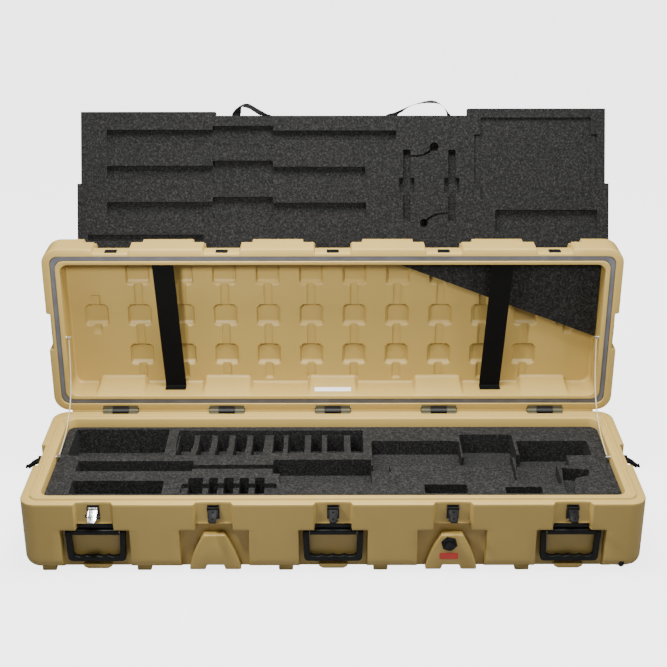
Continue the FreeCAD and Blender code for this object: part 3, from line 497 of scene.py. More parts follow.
def arch_and_bumps():
    """An arch in each empty bay, notched at its foot, and a rounded bump below each front handle."""
    side = []
    for step in range(13):
        u = step / 12
        side.append((61.0 - 36.0 * u ** 1.5, FOOT + (ARCH_TOP - FOOT) * u))
    half = ARCH_NOTCH_WIDTH / 2
    outline = [(-x, z) for x, z in reversed(side)]
    outline += [(-half - 3, FOOT), (-half, ARCH_NOTCH_TOP), (half, ARCH_NOTCH_TOP), (half + 3, FOOT)] + side
    made = []
    for spot in (-1, 1):
        centre = LATCH_PITCH * spot
        arch = prism("arch", [(centre + x, z) for x, z in outline],
                     -HALF_Y + ARCH_DEPTH, -HALF_Y + BAY_DEPTH + 2, TAN, "xzy")
        made.append(bevel(arch, 3.5, 3, 30))
    bump_outline = ((-34, 22), (-34, 14), (-24, FOOT), (24, FOOT), (34, 14), (34, 22))
    for spot in HANDLE_PLACES:
        centre = LATCH_PITCH * spot
        bump = prism("bump", [(centre + x, z) for x, z in bump_outline],
                     -HALF_Y + 8, -HALF_Y + BAY_DEPTH + 2, TAN, "xzy")
        made.append(bevel(bump, 2.5, 3, 30))
    return made


def front_mask(place, level):
    push = 0.0
    for spot in PLACES:
        across = abs(place - LATCH_PITCH * spot)
        if across > 90:
            continue
        pad = PAD_DEPTH * inside(across - PAD_TOP_WIDTH / 2 + PAD_SLOPE / 2, PAD_SLOPE)
        pad *= inside(PAD_FOOT - level, EDGE_SOFT)
        notch = BAY_DEPTH * inside(across - NOTCH_WIDTH / 2, EDGE_SOFT) * inside(level - PAD_FOOT, EDGE_SOFT)
        notch *= inside(BAY_TOP - 4 - level, EDGE_SOFT)
        bay = BAY_DEPTH * inside(across - BAY_WIDTH / 2, EDGE_SOFT) * inside(level - BAY_TOP, EDGE_SOFT)
        push = max(push, pad, notch, bay)
    return push


def base_mask(side, place, level):
    if side == "low":
        return front_mask(place, level)
    if side == "high":
        return max(SLOT_DEPTH * inside(abs(place - HINGE_PITCH * spot) - HINGE_SLOT / 2, EDGE_SOFT)
                   * inside(SLOT_FOOT - level, EDGE_SOFT) for spot in PLACES)
    across = abs(place)
    pad = END_PAD_DEPTH * inside(across - END_PAD_WIDTH / 2, EDGE_SOFT) * inside(PAD_FOOT - level, EDGE_SOFT)
    notch = BAY_DEPTH * inside(across - END_PAD_WIDTH / 2 + 4, EDGE_SOFT)
    notch *= inside(level - PAD_FOOT, EDGE_SOFT)
    notch *= inside(BAY_TOP - 4 - level, EDGE_SOFT)
    bay = BAY_DEPTH * inside(across - BAY_WIDTH / 2, EDGE_SOFT) * inside(level - BAY_TOP, EDGE_SOFT)
    bay *= inside(END_BAY_FOOT - level, EDGE_SOFT)
    return max(pad, notch, bay)


def base_rows():
    levels = [8.4, 9.2, 10.6, 12.5, 15, 17, 19, 20, 21, 22, 23, 24, 26, 29, 33, 38]
    levels += list(np.arange(43, 100, 5.0)) + [101, 102.5, 104, 105.5, 107]
    levels += [111, 113.5, 115, 116.5, 118, 119.5, 121, 125, 129, 130.5, 132, 133.5, 135]
    levels += list(np.arange(141, 186, 6.0)) + [187]
    rows = [(70, 70, FOOT, MOUTH_RADIUS, None), (BOTTOM_RADIUS + 2, BOTTOM_RADIUS + 2, FOOT, 12, base_mask),
            (BOTTOM_RADIUS - 4, BOTTOM_RADIUS - 4, FOOT + 0.1, 14, base_mask)]
    for level in levels:
        drop = max(0.0, FOOT + BOTTOM_RADIUS - level)
        inset = BOTTOM_RADIUS - math.sqrt(BOTTOM_RADIUS ** 2 - drop ** 2)
        rows.append((inset, inset, level, PLAN_RADIUS - inset, base_mask))
    for inset, level in ((0.9, 189.1), (3, 190)):
        rows.append((inset, inset, level, PLAN_RADIUS - inset,
                     lambda side, place, z, more=inset: base_mask(side, place, PARTING - 5) + more))
    for out, level in ((-8.4, 190), (-7.7, 188.4), (-5.6, 188.4), (-4.6, 190), (-3.4, 192.6),
                       (-2.4, 193), (2.4, 193), (3.4, 192.6), (4.8, 190)):
        inset = TONGUE_INSET + out
        rows.append((inset, inset, level, max(MOUTH_RADIUS, PLAN_RADIUS - inset), None))
    for back, level in ((2.6, 190), (0.8, 189.2), (0, 187.4), (0, 162), (0, 14)):
        rows.append((SIDE_FLANGE - back, END_FLANGE - back, level, MOUTH_RADIUS, None))
    return rows


def feet():
    """Flat feet under the base: five strips across it, one at its middle and one at its right end."""
    made = []
    for x in (-672, -447, -112, 112, 447):
        made.append(soft_box("foot", (x - 17, -HALF_Y + 12, 0), (x + 17, HALF_Y - 12, FOOT + 8), TAN, 3))
    made.append(soft_box("foot", (-30, -60, 0), (30, 60, FOOT + 1), TAN, 2))
    made.append(soft_box("foot", (655, -120, 0), (689, 120, FOOT + 4), TAN, 3))
    return made


def base_shell():
    halves = (PAD_TOP_WIDTH / 2, PAD_TOP_WIDTH / 2 - PAD_SLOPE / 2, NOTCH_WIDTH / 2, BAY_WIDTH / 2)
    front = edge_lines([LATCH_PITCH * spot + sign * half for spot in PLACES for sign in (-1, 1)
                        for half in halves])
    ends = edge_lines([sign * half for sign in (-1, 1) for half in (END_PAD_WIDTH / 2, END_PAD_WIDTH / 2 - 4,
                                                                    BAY_WIDTH / 2)])
    rear = edge_lines([HINGE_PITCH * spot + sign * HINGE_SLOT / 2 for spot in PLACES for sign in (-1, 1)])
    lines = side_lines(front, ends, rear, ends)
    wall = swept_wall("base_wall", base_rows(), lines, lambda u, v, level: (u, v, level), TAN, caps=True)
    wells = []
    for side in (-1, 1):
        low, high = sorted((side * 150.0, side * (HALF_Y - 8.0)))
        wells.append(soft_box("well", (WELL_LOW, low, -2), (WELL_HIGH, high, 50), TAN, 4))
        low, high = sorted((side * (HALF_Y - 12.0), side * (HALF_Y + 4.0)))
        for half, top in ((15, 14), (8, 32)):
            wells.append(prism("window", rounded_outline([(HALF_X - 50 - half, -4), (HALF_X - 50 + half, -4),
                                                          (HALF_X - 50 + half * 0.8, top),
                                                          (HALF_X - 50 - half * 0.8, top)], 4),
                               low, high, TAN, "xzy"))
    subtract(wall, wells)
    shell = join("base_shell_moulding", [wall] + feet() + arch_and_bumps())
    sharpen(shell.data, 35)
    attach(shell, "base")
    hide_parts("base_shell")
    return shell


base_shell()

# ---------------------------------------------------------------- lid shell


def lid_mask(side, place, level):
    """Recesses in the lid's outer wall: keeper pads and deep bays on top, hinge slots below, end pads."""
    behind = level - LID_FRONT
    if side == "high":
        push = 0.0
        for spot in PLACES:
            across = abs(place - LATCH_PITCH * spot)
            if across > 82:
                continue
            pad = 11.0 * inside(across - 46, EDGE_SOFT)
            bay = 31.0 * inside(across - 45, EDGE_SOFT) * inside(41 - behind, EDGE_SOFT)
            step = 12.0 * inside(across - 74, EDGE_SOFT) * inside(54 - behind, EDGE_SOFT)
            push = max(push, pad, bay, step)
        return push
    if side == "low":
        return max(SLOT_DEPTH * inside(abs(place - HINGE_PITCH * spot) - HINGE_SLOT / 2, EDGE_SOFT)
                   * inside(behind - 50, EDGE_SOFT) for spot in PLACES)
    return END_PAD_DEPTH * inside(abs(place) - END_PAD_WIDTH / 2, EDGE_SOFT) * inside(behind - 41, EDGE_SOFT)


def ramp_mask(side, place, level):
    """Where the hinges bolt on, the inner wall above them is a ramp that rises to 17 mm at the panel."""
    behind = level - LID_FRONT
    if side != "low":
        return 0.0
    width = max(inside(abs(place - HINGE_PITCH * spot) - 63, 14) for spot in PLACES)
    return SIDE_FLANGE + (RAMP_RISE * width - 3.0 * (1 - width)) * behind / (PANEL - LID_FRONT)


def lid_rows():
    def outer(more):
        return lambda side, place, level: lid_mask(side, place, max(level, LID_FRONT + 1)) + more
    rows = []
    for back, behind in ((5, 80.5), (5, 78.9), (2.2, 77.4), (0.7, 75), (0, 71)):
        rows.append((SIDE_FLANGE + back, END_FLANGE + back, LID_FRONT + behind, MOUTH_RADIUS,
                     lambda side, place, level, more=back: ramp_mask(side, place, level)
                     + (more if side == "low" else 0.0)))
    for behind in (60, 50, 40, 30, 22, 16, 13, 10, 7, 4.5):
        rows.append((SIDE_FLANGE, END_FLANGE, LID_FRONT + behind, MOUTH_RADIUS, ramp_mask))
    for back, behind in ((0, 2.6), (0.8, 0.8), (2.6, 0)):
        rows.append((SIDE_FLANGE - back, END_FLANGE - back, LID_FRONT + behind, MOUTH_RADIUS, None))
    for out, behind in ((7.6, 0), (6.6, 1), (6.5, 9), (-6.5, 9), (-6.6, 1), (-7.4, 0)):
        inset = TONGUE_INSET + out
        rows.append((inset, inset, LID_FRONT + behind, max(MOUTH_RADIUS, PLAN_RADIUS - inset), None))
    for inset, behind in ((3, 0), (0.9, 0.9), (0, 3)):
        rows.append((inset, inset, LID_FRONT + behind, PLAN_RADIUS - inset, outer(inset)))
    for behind in (10, 20, 30, 37, 38.5, 39.5, 41, 42.5, 44, 47, 48.5, 50, 51.5, 53, 54.5, 56, 57.5, 61, 66):
        rows.append((0, 0, LID_FRONT + behind, PLAN_RADIUS, outer(0)))
    for step in range(7):
        angle = math.radians(15 * step)
        inset = 14 * (1 - math.cos(angle))
        rows.append((inset, inset, LID_BACK - 14 + 14 * math.sin(angle), PLAN_RADIUS - inset, outer(inset)))
    rows.append((36, 36, LID_BACK, 12, outer(0)))
    rows.append((36, 36, LID_BACK - 3, 12, outer(0)))
    return rows


def boss_height(x, z, grow):
    """1 on a stacking boss and 0 off it: three eight-sided pads joined by necks, and a pointed tail."""
    made = np.zeros_like(x)
    for column in range(12):
        across = np.abs(x - (column - 5.5) * BOSS_PITCH)
        end_column = column in (0, 11)
        for middle in BOSS_ROWS[1:2] if end_column else BOSS_ROWS:
            up = np.abs(z - middle + 8)
            distance = np.maximum.reduce([across - 29 - grow, up - 30.5 - grow,
                                          (across + up - 51.5 - 1.4 * grow) / 1.414])
            slope = smooth((z - middle + 38.5 + grow) / 15)
            made = np.maximum(made, inside(distance, 4) * slope)
        bottom, top = (BOSS_ROWS[1] - 62, BOSS_ROWS[1] + 50) if end_column else (243, BOSS_ROWS[0])
        neck = np.maximum.reduce([across - 10 - grow, bottom - z - grow, z - top - grow])
        made = np.maximum(made, 0.5 * inside(neck, 4) * smooth((z - bottom + grow) / 10))
    return made


def lid_panel():
    """The lid's panel: bosses recessed on its inside and raised on its outside."""
    half_x, half_z = HALF_X - 35.0, HALF_Y - 35.0
    lines_x = [(column - 5.5) * BOSS_PITCH + offset
               for column in range(12) for offset in np.arange(-38, 39, 2.4)]
    lines_z = [middle + offset for middle in BOSS_ROWS for offset in np.arange(-47, 33, 2.2)]
    lines_z += edge_lines([243, 252, BOSS_ROWS[1] - 62, BOSS_ROWS[1] + 50])
    xs = np.array(tidy_lines(lines_x, -half_x, half_x))
    zs = np.array(tidy_lines(lines_z, LID_MIDDLE - half_z, LID_MIDDLE + half_z))
    grid_x, grid_z = np.meshgrid(xs, zs)
    inner = PANEL + 10 * boss_height(grid_x, grid_z, 0)
    outer = LID_BACK - 0.4 + 10 * boss_height(grid_x, grid_z, 5)
    points = [(x, y, z) for layer in (inner, outer) for x, y, z in
              zip(grid_x.ravel(), layer.ravel(), grid_z.ravel())]
    wide, tall = len(xs), len(zs)
    layer = wide * tall
    faces = []
    for row in range(tall - 1):
        for column in range(wide - 1):
            a = row * wide + column
            faces.append([a, a + 1, a + wide + 1, a + wide])
            faces.append([layer + a, layer + a + wide, layer + a + wide + 1, layer + a + 1])
    border = list(range(wide)) + [row * wide + wide - 1 for row in range(1, tall)]
    border += [layer - 1 - i for i in range(1, wide)] + [row * wide for row in range(tall - 2, 0, -1)]
    for a, b in zip(border, border[1:] + border[:1]):
        faces.append([a, b, layer + b, layer + a])
    return make("lid_panel", points, faces, TAN)


def lid_shell():
    top = edge_lines([LATCH_PITCH * spot + sign * half for spot in PLACES for sign in (-1, 1)
                      for half in (45.5, 74)])
    ends = edge_lines([sign * END_PAD_WIDTH / 2 for sign in (-1, 1)])
    bottom = edge_lines([HINGE_PITCH * spot + sign * HINGE_SLOT / 2 for spot in PLACES for sign in (-1, 1)])
    bottom += edge_lines([HINGE_PITCH * spot + sign * half for spot in PLACES for sign in (-1, 1)
                          for half in (63,)], (-6, -4, -2, 0, 2, 4, 6))
    lines = side_lines(bottom, ends, top, ends)
    wall = swept_wall("lid_wall", lid_rows(), lines, lambda u, v, level: (u, level, LID_MIDDLE + v), TAN)
    low = LID_MIDDLE - HALF_Y
    slot_ends = [HINGE_PITCH * spot + sign * HINGE_SLOT / 2 for spot in PLACES for sign in (-1, 1)]
    marks = [-HALF_X + 45] + slot_ends + [HALF_X - 45]
    ribs = [soft_box("rib", (left, LID_FRONT + 0.3, low - 11), (right, LID_FRONT + 3.5, low + 2), TAN, 1)
            for left, right in zip(marks[::2], marks[1::2])]
    # Olive strips set behind each hinge slot: painted shade, dark sheets standing where the slots are in
    # shadow.
    shades = [soft_box("shade", (HINGE_PITCH * spot - 54, LID_FRONT + 8, low - 20),
                       (HINGE_PITCH * spot + 54, LID_FRONT + 10, low + 4), HINGE_PAINTED_SHADE, 0.5)
              for spot in PLACES]
    shell = join("lid_shell_moulding", [wall, lid_panel()] + ribs + shades)
    sharpen(shell.data, 35)
    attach(shell, "lid")
    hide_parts("lid_shell")


lid_shell()


def gasket():
    """A rubber strip with a rounded face in the channel of the lid's rim."""
    rows = []
    for out, behind in ((-6.5, 8.9), (-6.5, 4.6), (-5.7, 3.5), (-4, 3),
                        (4, 3), (5.7, 3.5), (6.5, 4.6), (6.5, 8.9)):
        inset = TONGUE_INSET + out
        rows.append((inset, inset, LID_FRONT + behind, max(MOUTH_RADIUS, PLAN_RADIUS - inset), None))
    lines = side_lines([], [], [], [])
    strip = swept_wall("lid_gasket_strip", rows, lines,
                       lambda u, v, level: (u, level, LID_MIDDLE + v), GASKET)
    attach(strip, "lid")
    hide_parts("lid_gasket")


gasket()

# ---------------------------------------------------------------- foam in the base

# Pockets with straight sides: x from, x to, y from, y to, depth, corner radius.
BASE_POCKETS = [
    (-664, -423, 38, 172, 70, 8),
    (-632, -345, -37, 11, 40.3, 5), (-350, -147, -26, -7, 22, 3), (-148, 95, -50, 17, 46, 6),
    (-130, 95, -94, -45, 45.7, 6), (-629, -408, -141, -82, 60, 6),
    (98, 321, -13, 110, 40, 8), (325, 460, 27, 143, 55, 8), (320, 446, -85, 29, 22, 10),
    (467, 648, 37, 109, 60.4, 8), (453, 584, -12, 39, 34, 6), (450, 552, -99, -9, 28, 8),
    (219, 322, -140, -100, 40, 6), (412, 500, -141, -112, 39.6, 5),
    (-398, 77, 75, 165, 14, 6), (-365, -135, -141, -95, 12, 6),
]
# Pockets with slanting sides: outline in x and y, and depth.
SLANTED_POCKETS = [
    ([(92, -91), (104, -91), (143, -37), (138, -10), (92, -10)], 16),
    ([(562, -24), (629, -32), (624, -58), (588, -72), (575, -139), (556, -139), (555, -96)], 34),
]
TALL_SLOTS = [(-395, -357, 39), (-344, -312, 39), (-297, -267, 39), (-252, -221, 39), (-206, -176, 39),
              (-153, -126, 50), (-115, -72, 50), (-56, -28, 50), (-15, 29, 50), (45, 77, 50)]
SHORT_SLOTS = [(-350, -314), (-300, -278), (-264, -240), (-226, -203), (-189, -165)]


def base_foam():
    low, high = corners("base_foam")
    body = prism("base_foam_block", box_outline(low.x, high.x, low.y, high.y, MOUTH_RADIUS),
                 low.z, FOAM_TOP, FOAM)
    outlines = [(box_outline(*pocket[:4], pocket[5]), pocket[4]) for pocket in BASE_POCKETS]
    outlines += [(rounded_outline(points, 5), depth) for points, depth in SLANTED_POCKETS]
    outlines += [(box_outline(x_low, x_high, front, 164.6, 5), 62) for x_low, x_high, front in TALL_SLOTS]
    outlines += [(box_outline(x_low, x_high, -140.6, -68, 5), 48) for x_low, x_high in SHORT_SLOTS]
    cutters = [prism("pocket", outline, FOAM_TOP - depth, FOAM_TOP + 5, FOAM) for outline, depth in outlines]
    for side in (-1, 1):
        y_low, y_high = sorted((side * 143.0, side * (HALF_Y - 1.0)))
        cutters.append(prism("well", box_outline(WELL_LOW - 7, WELL_HIGH + 7, y_low, y_high), 0, 57, FOAM))
    subtract(body, cutters)
    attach(body, "base")
    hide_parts("base_foam")


base_foam()

# ---------------------------------------------------------------- foam tray behind the lid

TRAY_LEAN = math.radians(22)
TRAY_EDGE = (27.0, 325.3, 602.0)
TRAY_FACE, TRAY_BACK = 25.0, 10.0
TRAY_HALF, TRAY_HEIGHT = 683.0, 348.0
TRAY_PLACE = Matrix.Translation(TRAY_EDGE) @ Matrix.Rotation(-TRAY_LEAN, 4, "X")

# Plain cut-outs of the tray's face: x from, x to, z from, z to, depth, from its middle and its bottom edge.
TRAY_SLOTS = [
    (-607, -330, 279, 312, 15.4), (-335, -180, 271, 322, 16), (-184, 136, 286, 310, 14.6),
    (-607, -330, 186, 220, 15.4), (-335, -180, 175, 233, 16), (-184, 57, 192, 217, 14.6),
    (-607, -330, 96, 127, 15.4), (-335, -180, 84, 140, 16), (-184, 59, 99, 125, 14.6),
    (154, 173, 78, 261, 15.4), (144, 183, 150, 189, 16), (270, 289, 78, 261, 15.4), (260, 299, 150, 189, 16),
    (353, 637, 132, 343, 7), (337, 653, 172, 300, 6.4), (391, 654, 55, 106, 14), (-657, -359, 27, 43, 12),
]


def tray():
    half = TRAY_HALF
    outline = [(-half, 0), (half, 0), (half, 174), (half - 10, 174), (half - 10, 366), (319, 366), (319, 348),
               (-327, 348), (-327, 358), (-half + 10, 358), (-half + 10, 174), (-half, 174)]
    face = prism("tray_face_layer", rounded_outline(outline, 1.5, 2), 0, TRAY_FACE, TRAY_FOAM_WITH_PAINTED_SHADE, "xzy",
                 placement=TRAY_PLACE)
    cutters = []
    for x_low, x_high, z_low, z_high, depth in TRAY_SLOTS:
        cutters.append(prism("slot", box_outline(x_low, x_high, z_low, z_high, 3), -5, depth,
                             TRAY_FOAM_WITH_PAINTED_SHADE, "xzy", placement=TRAY_PLACE))
    for x, z, radius in ((234, 268, 11.5), (208, 73, 10.5)):
        cutters.append(turned("hole", [(-5, radius), (19, radius)], (x, 0, z), (0, 1, 0), TRAY_FOAM_WITH_PAINTED_SHADE,
                              placement=TRAY_PLACE))
    for path in (((168, 246), (200, 242), (214, 248), (230, 264)),
                 ((276, 98), (246, 97), (226, 94), (212, 76))):
        cutters.append(channel(path, 2.6))
    subtract(face, cutters)
    back = prism("tray_backing_layer", box_outline(-half + 12, half - 12, 0, TRAY_HEIGHT - 4, 3), TRAY_FACE,
                 TRAY_FACE + TRAY_BACK, TRAY_FOAM_WITH_PAINTED_SHADE, "xzy", placement=TRAY_PLACE)
    for item, node in ((face, "tray_face"), (back, "tray_backing")):
        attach(item, "tray")
        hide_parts(node)


def channel(path, half):
    """A cutter for a narrow curved channel in the tray's face."""
    line = []
    for step in range(25):
        u = step / 24
        weights = ((1 - u) ** 3, 3 * u * (1 - u) ** 2, 3 * u * u * (1 - u), u ** 3)
        line.append(sum((Vector(point) * weight for point, weight in zip(path, weights)), Vector((0, 0))))
    left, right = [], []
    for index, point in enumerate(line):
        along = (line[min(index + 1, 24)] - line[max(index - 1, 0)]).normalized()
        across = Vector((-along.y, along.x)) * half
        left.append(point + across)
        right.append(point - across)
    return prism("channel", left + right[::-1], -5, 10, TRAY_FOAM_WITH_PAINTED_SHADE, "xzy", placement=TRAY_PLACE)


tray()


def through(points, steps=6):
    """A smooth curve through points."""
    made = []
    spots = [points[0]] + list(points) + [points[-1]]
    for a, b, c, d in zip(spots, spots[1:], spots[2:], spots[3:]):
        a, b, c, d = (np.array(spot, dtype=float) for spot in (a, b, c, d))
        for step in range(steps):
            u = step / steps
            made.append(0.5 * (2 * b + (c - a) * u + (2 * a - 5 * b + 4 * c - d) * u ** 2
                               + (3 * b - a - 3 * c + d) * u ** 3))
    return made + [np.array(points[-1], dtype=float)]


def webbing_loop(word, outer, inner):
    """A lifting loop of flat webbing that twists as it arches over: the two edges of its outline, seen from
    the tray's face, from the tray's top edge up. Where it looks narrow it is turned edge on."""
    wide, thick = 22.0, 1.5
    def edge(points):
        legs = [(points[0][0], -56)] + list(points) + [(points[-1][0], -56)]
        return through(legs)
    points, faces = [], []
    for a, b in zip(edge(outer), edge(inner)):
        seen = np.linalg.norm(a - b)
        turned_forward = math.sqrt(max(0.0, wide ** 2 - seen ** 2))
        for (x, z), forward in ((a, 0.0), (b, turned_forward)):
            for depth in (0.2, 0.2 + thick):
                points.append((x, TRAY_FACE + TRAY_BACK + depth - forward, TRAY_HEIGHT + z))
    for index in range(len(points) // 4 - 1):
        a, b = index * 4, index * 4 + 4
        faces += [[a, a + 1, b + 1, b], [a + 1, a + 3, b + 3, b + 1],
                  [a + 3, a + 2, b + 2, b + 3], [a + 2, a, b, b + 2]]
    end = len(points) - 4
    faces += [[0, 2, 3, 1], [end, end + 1, end + 3, end + 2]]
    item = make(f"{word}_webbing_loop", points, faces, WEBBING, placement=TRAY_PLACE)
    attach(item, "tray")
    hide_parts(f"{word}_loop")


webbing_loop("left",
             [(-288, 0), (-286, 11), (-278, 21.4), (-264, 31.5), (-252, 35.6),
              (-241, 33.5), (-221, 22), (-197, 8.5), (-185, 0)],
             [(-266, 0), (-264, 13), (-262, 24), (-257, 24), (-248, 22),
              (-240, 19), (-228, 11), (-216, 4), (-209, 0)])
webbing_loop("right",
             [(108, 0), (136, 13), (173, 29), (197, 37), (229, 43.5),
              (249, 37), (264, 24), (274, 11), (280, 0)],
             [(140, 0), (156, 15), (177, 27), (197, 32), (225, 34),
              (249, 31), (261, 21), (266, 11), (268, 0)])

# ---------------------------------------------------------------- lid straps, wedge and label


def lid_strap(word, side):
    """Webbing from the lid's front wall to its hinge wall, with a folded foot at each end."""
    wide, thick = 27.0, 1.6
    route = [(426, 258, 603), (427.8, 243, 602.6), (428, 239.5, 599), (427.2, 242, 580), (421.5, 260, 419),
             (415.6, 277.5, 262), (415, 279.8, 240), (415, 277, 237.6), (415, 262, 237)]
    points, faces = [], []
    for x, y, z in route:
        for across in (-wide, wide):
            points.append((side * x + across, y, z))
    points = np.array(points)
    strip = make(f"{word}_lid_strap", [tuple(point) for point in points],
                 [[2 * i, 2 * i + 1, 2 * i + 3, 2 * i + 2] for i in range(len(route) - 1)], WEBBING)
    solid = strip.modifiers.new("thick", "SOLIDIFY")
    solid.thickness = thick * MM
    solid.offset = 0.0
    apply_modifiers(strip)
    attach(strip, "lid")
    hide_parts(f"{word}_strap")


lid_strap("left", -1)
lid_strap("right", 1)


def wedge_and_label():
    low, high = corners("foam_wedge")
    outline = rounded_outline([(low.x, high.z), (high.x - 16, high.z), (high.x, high.z - 12.5),
                               (high.x, low.z)], [2, 8, 8, 4])
    item = bevel(prism("foam_wedge_block", outline, low.y, high.y, FOAM, "xzy"), 1.2, 2)
    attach(item, "lid")
    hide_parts("foam_wedge")
    low, high = corners("blank_label")
    slope = [(low.y, low.z), (high.y, high.z - 0.6), (high.y, high.z), (low.y, low.z + 0.6)]
    item = prism("blank_label_tape", slope, low.x, high.x, WHITE, "yzx")
    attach(item, "lid")
    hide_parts("blank_label")


wedge_and_label()

# ---------------------------------------------------------------- pieces that keep their CAD meshes

for node, material in (("base_hinge_leaves", HINGE_BLACK_AND_PAINTED_SHADE), ("lid_hinge_leaves", HINGE_BLACK_AND_PAINTED_SHADE), ("hinge_pins", HINGE_BLACK_AND_PAINTED_SHADE),
                       ("base_cable_eyes", BRIGHT), ("lid_cable_eyes", BRIGHT), ("wheel_axles", BLACK_METAL),
                       ("latch_keepers", BLACK_METAL)):
    nodes[node].data.materials.clear()
    nodes[node].data.materials.append(material)

# ---------------------------------------------------------------- latches

LATCH_REST = math.radians(58)
ARM_HALF, ARM_LENGTH, ARM_THICK = 11.0, 35.0, 2.0
WING_DROP = 17.0
WING_ANGLES = {"1": 8, "2": 118, "3": 60, "4": 125, "5": 130, "left": 90, "right": 90}


def pin_frame(joint_name):
    """The frame at a joint's pin: x across the wall, y into it and z up."""
    joint = joints[joint_name]
    axis = Vector(joint["axis"])
    out = Vector((0, 0, 1)).cross(axis)
    turn = Matrix((-axis, -out, Vector((0, 0, 1)))).transposed().to_4x4()
    return Matrix.Translation(Vector(joint["pos_m"]) / MM) @ turn


def latch_arm(spot, material):
    """The draw arm: a pressed blade with side flanges, two rivets, a rolled eye and a hook at its tip."""
    place = pin_frame(f"latch_{spot}_swing") @ Matrix.Rotation(-LATCH_REST, 4, "X")
    outline = [(-ARM_HALF, -3), (ARM_HALF, -3), (ARM_HALF, -23), (ARM_HALF - 3, -ARM_LENGTH),
               (-ARM_HALF + 3, -ARM_LENGTH), (-ARM_HALF, -23)]
    blade = prism("blade", rounded_outline(outline, 3), -ARM_THICK / 2, ARM_THICK / 2, material, "xzy",
                  placement=place)
    parts = [bevel(blade, 0.5, 2)]
    eye = [(-ARM_HALF, 2.1), (-ARM_HALF, 3.2), (-ARM_HALF + 0.5, 3.6), (ARM_HALF - 0.5, 3.6),
           (ARM_HALF, 3.2), (ARM_HALF, 2.1)]
    parts.append(turned("eye", eye, (0, 0, 0), (1, 0, 0), material, placement=place))
    parts.append(soft_box("hook", (-ARM_HALF + 3, -ARM_THICK / 2 - 2.8, -ARM_LENGTH - 2),
                          (ARM_HALF - 3, ARM_THICK / 2, -ARM_LENGTH), material, 0.6, placement=place))
    for x in (-ARM_HALF + 1.2, ARM_HALF - 1.2):
        parts.append(soft_box("flange", (x - 1.2, -2.4, -ARM_LENGTH + 12), (x + 1.2, 0, -5), material, 0.5,
                              placement=place))
    for z in (-9, -WING_DROP - 9):
        parts.append(turned("rivet", [(0, 2.6), (0.9, 2.6), (1.5, 1.8), (1.7, 0.6)],
                            (0, -ARM_THICK / 2, z), (0, -1, 0), material, 20, placement=place))
    arm = join(f"latch_{spot}_draw_arm", parts)
    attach(arm, f"latch_arm_{spot}")
    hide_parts(f"latch_arm_{spot}")


def latch_wing(spot):
    """The butterfly that turns the latch: a hub with two flared wings."""
    place = pin_frame(f"latch_{spot}_swing") @ Matrix.Rotation(-LATCH_REST, 4, "X")
    place = place @ Matrix.Translation((0, 0, -WING_DROP))
    place = place @ Matrix.Rotation(math.radians(WING_ANGLES[spot]), 4, "Y")
    face = ARM_THICK / 2
    hub = turned("hub", [(0.3, 6), (4.8, 6), (5.3, 5.4)], (0, face, 0), (0, 1, 0), BLACKENED, 28,
                 placement=place)
    outline = [(-17, -4.5), (-12, -4.2), (-6, -2.6), (6, -2.6), (12, -4.2), (17, -4.5),
               (17, 4.5), (12, 4.2), (6, 2.6), (-6, 2.6), (-12, 4.2), (-17, 4.5)]
    bar = prism("bar", rounded_outline(outline, 2.5, 3), face + 3.2, face + 5.6, BLACKENED, "xzy",
                placement=place)
    wing = join(f"latch_{spot}_butterfly", [hub, bevel(bar, 0.6, 2)])
    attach(wing, f"latch_wing_{spot}")
    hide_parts(f"latch_wing_{spot}")


# Latch 1's draw arm is bright steel and the others blackened: lit and shaded copies of one arm, a painted
# reflection on latch 1 and painted shade on the others.
for latch_name in WING_ANGLES:
    latch_arm(latch_name, BRIGHT if latch_name == "1" else BLACKENED)
    latch_wing(latch_name)
    nodes[f"latch_plate_{latch_name}"].data.materials.clear()
    nodes[f"latch_plate_{latch_name}"].data.materials.append(BLACK_METAL)

# ---------------------------------------------------------------- handles

GRIP_HALF, HANDLE_DROP, GRIP_HEIGHT, HANDLE_HALF_THICK = 71.0, 78.0, 16.0, 7.0
ARM_BREADTH = 14.0
HANDLE_STAND = 10.0


def bail(spot):
    """A moulded bail: two arms that lean inwards and a grip with finger scallops along its top."""
    place = pin_frame(f"handle_{spot}_swing")
    outer = rounded_outline([(-GRIP_HALF, 6), (-GRIP_HALF + 3, -HANDLE_DROP), (GRIP_HALF - 3, -HANDLE_DROP),
                             (GRIP_HALF, 6)], [5, 12, 12, 5])
    grip_top = -HANDLE_DROP + GRIP_HEIGHT
    inner = [Vector((GRIP_HALF - ARM_BREADTH, 6)), Vector((GRIP_HALF - ARM_BREADTH - 2, grip_top + 5))]
    width = 2 * (GRIP_HALF - ARM_BREADTH - 5)
    for step in range(33):
        u = step / 32
        inner.append(Vector((width / 2 - width * u, grip_top - 3.4 * abs(math.sin(4 * math.pi * u)))))
    inner += [Vector((-GRIP_HALF + ARM_BREADTH + 2, grip_top + 5)), Vector((-GRIP_HALF + ARM_BREADTH, 6))]
    outline = outer + inner
    item = prism("bail", outline, -HANDLE_HALF_THICK, HANDLE_HALF_THICK, BLACK_RUBBER, "xzy", placement=place)
    bevel(item, 3.2, 4, 45)
    item.name = f"handle_{spot}_bail"
    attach(item, f"handle_{spot}")
    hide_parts(f"handle_{spot}")


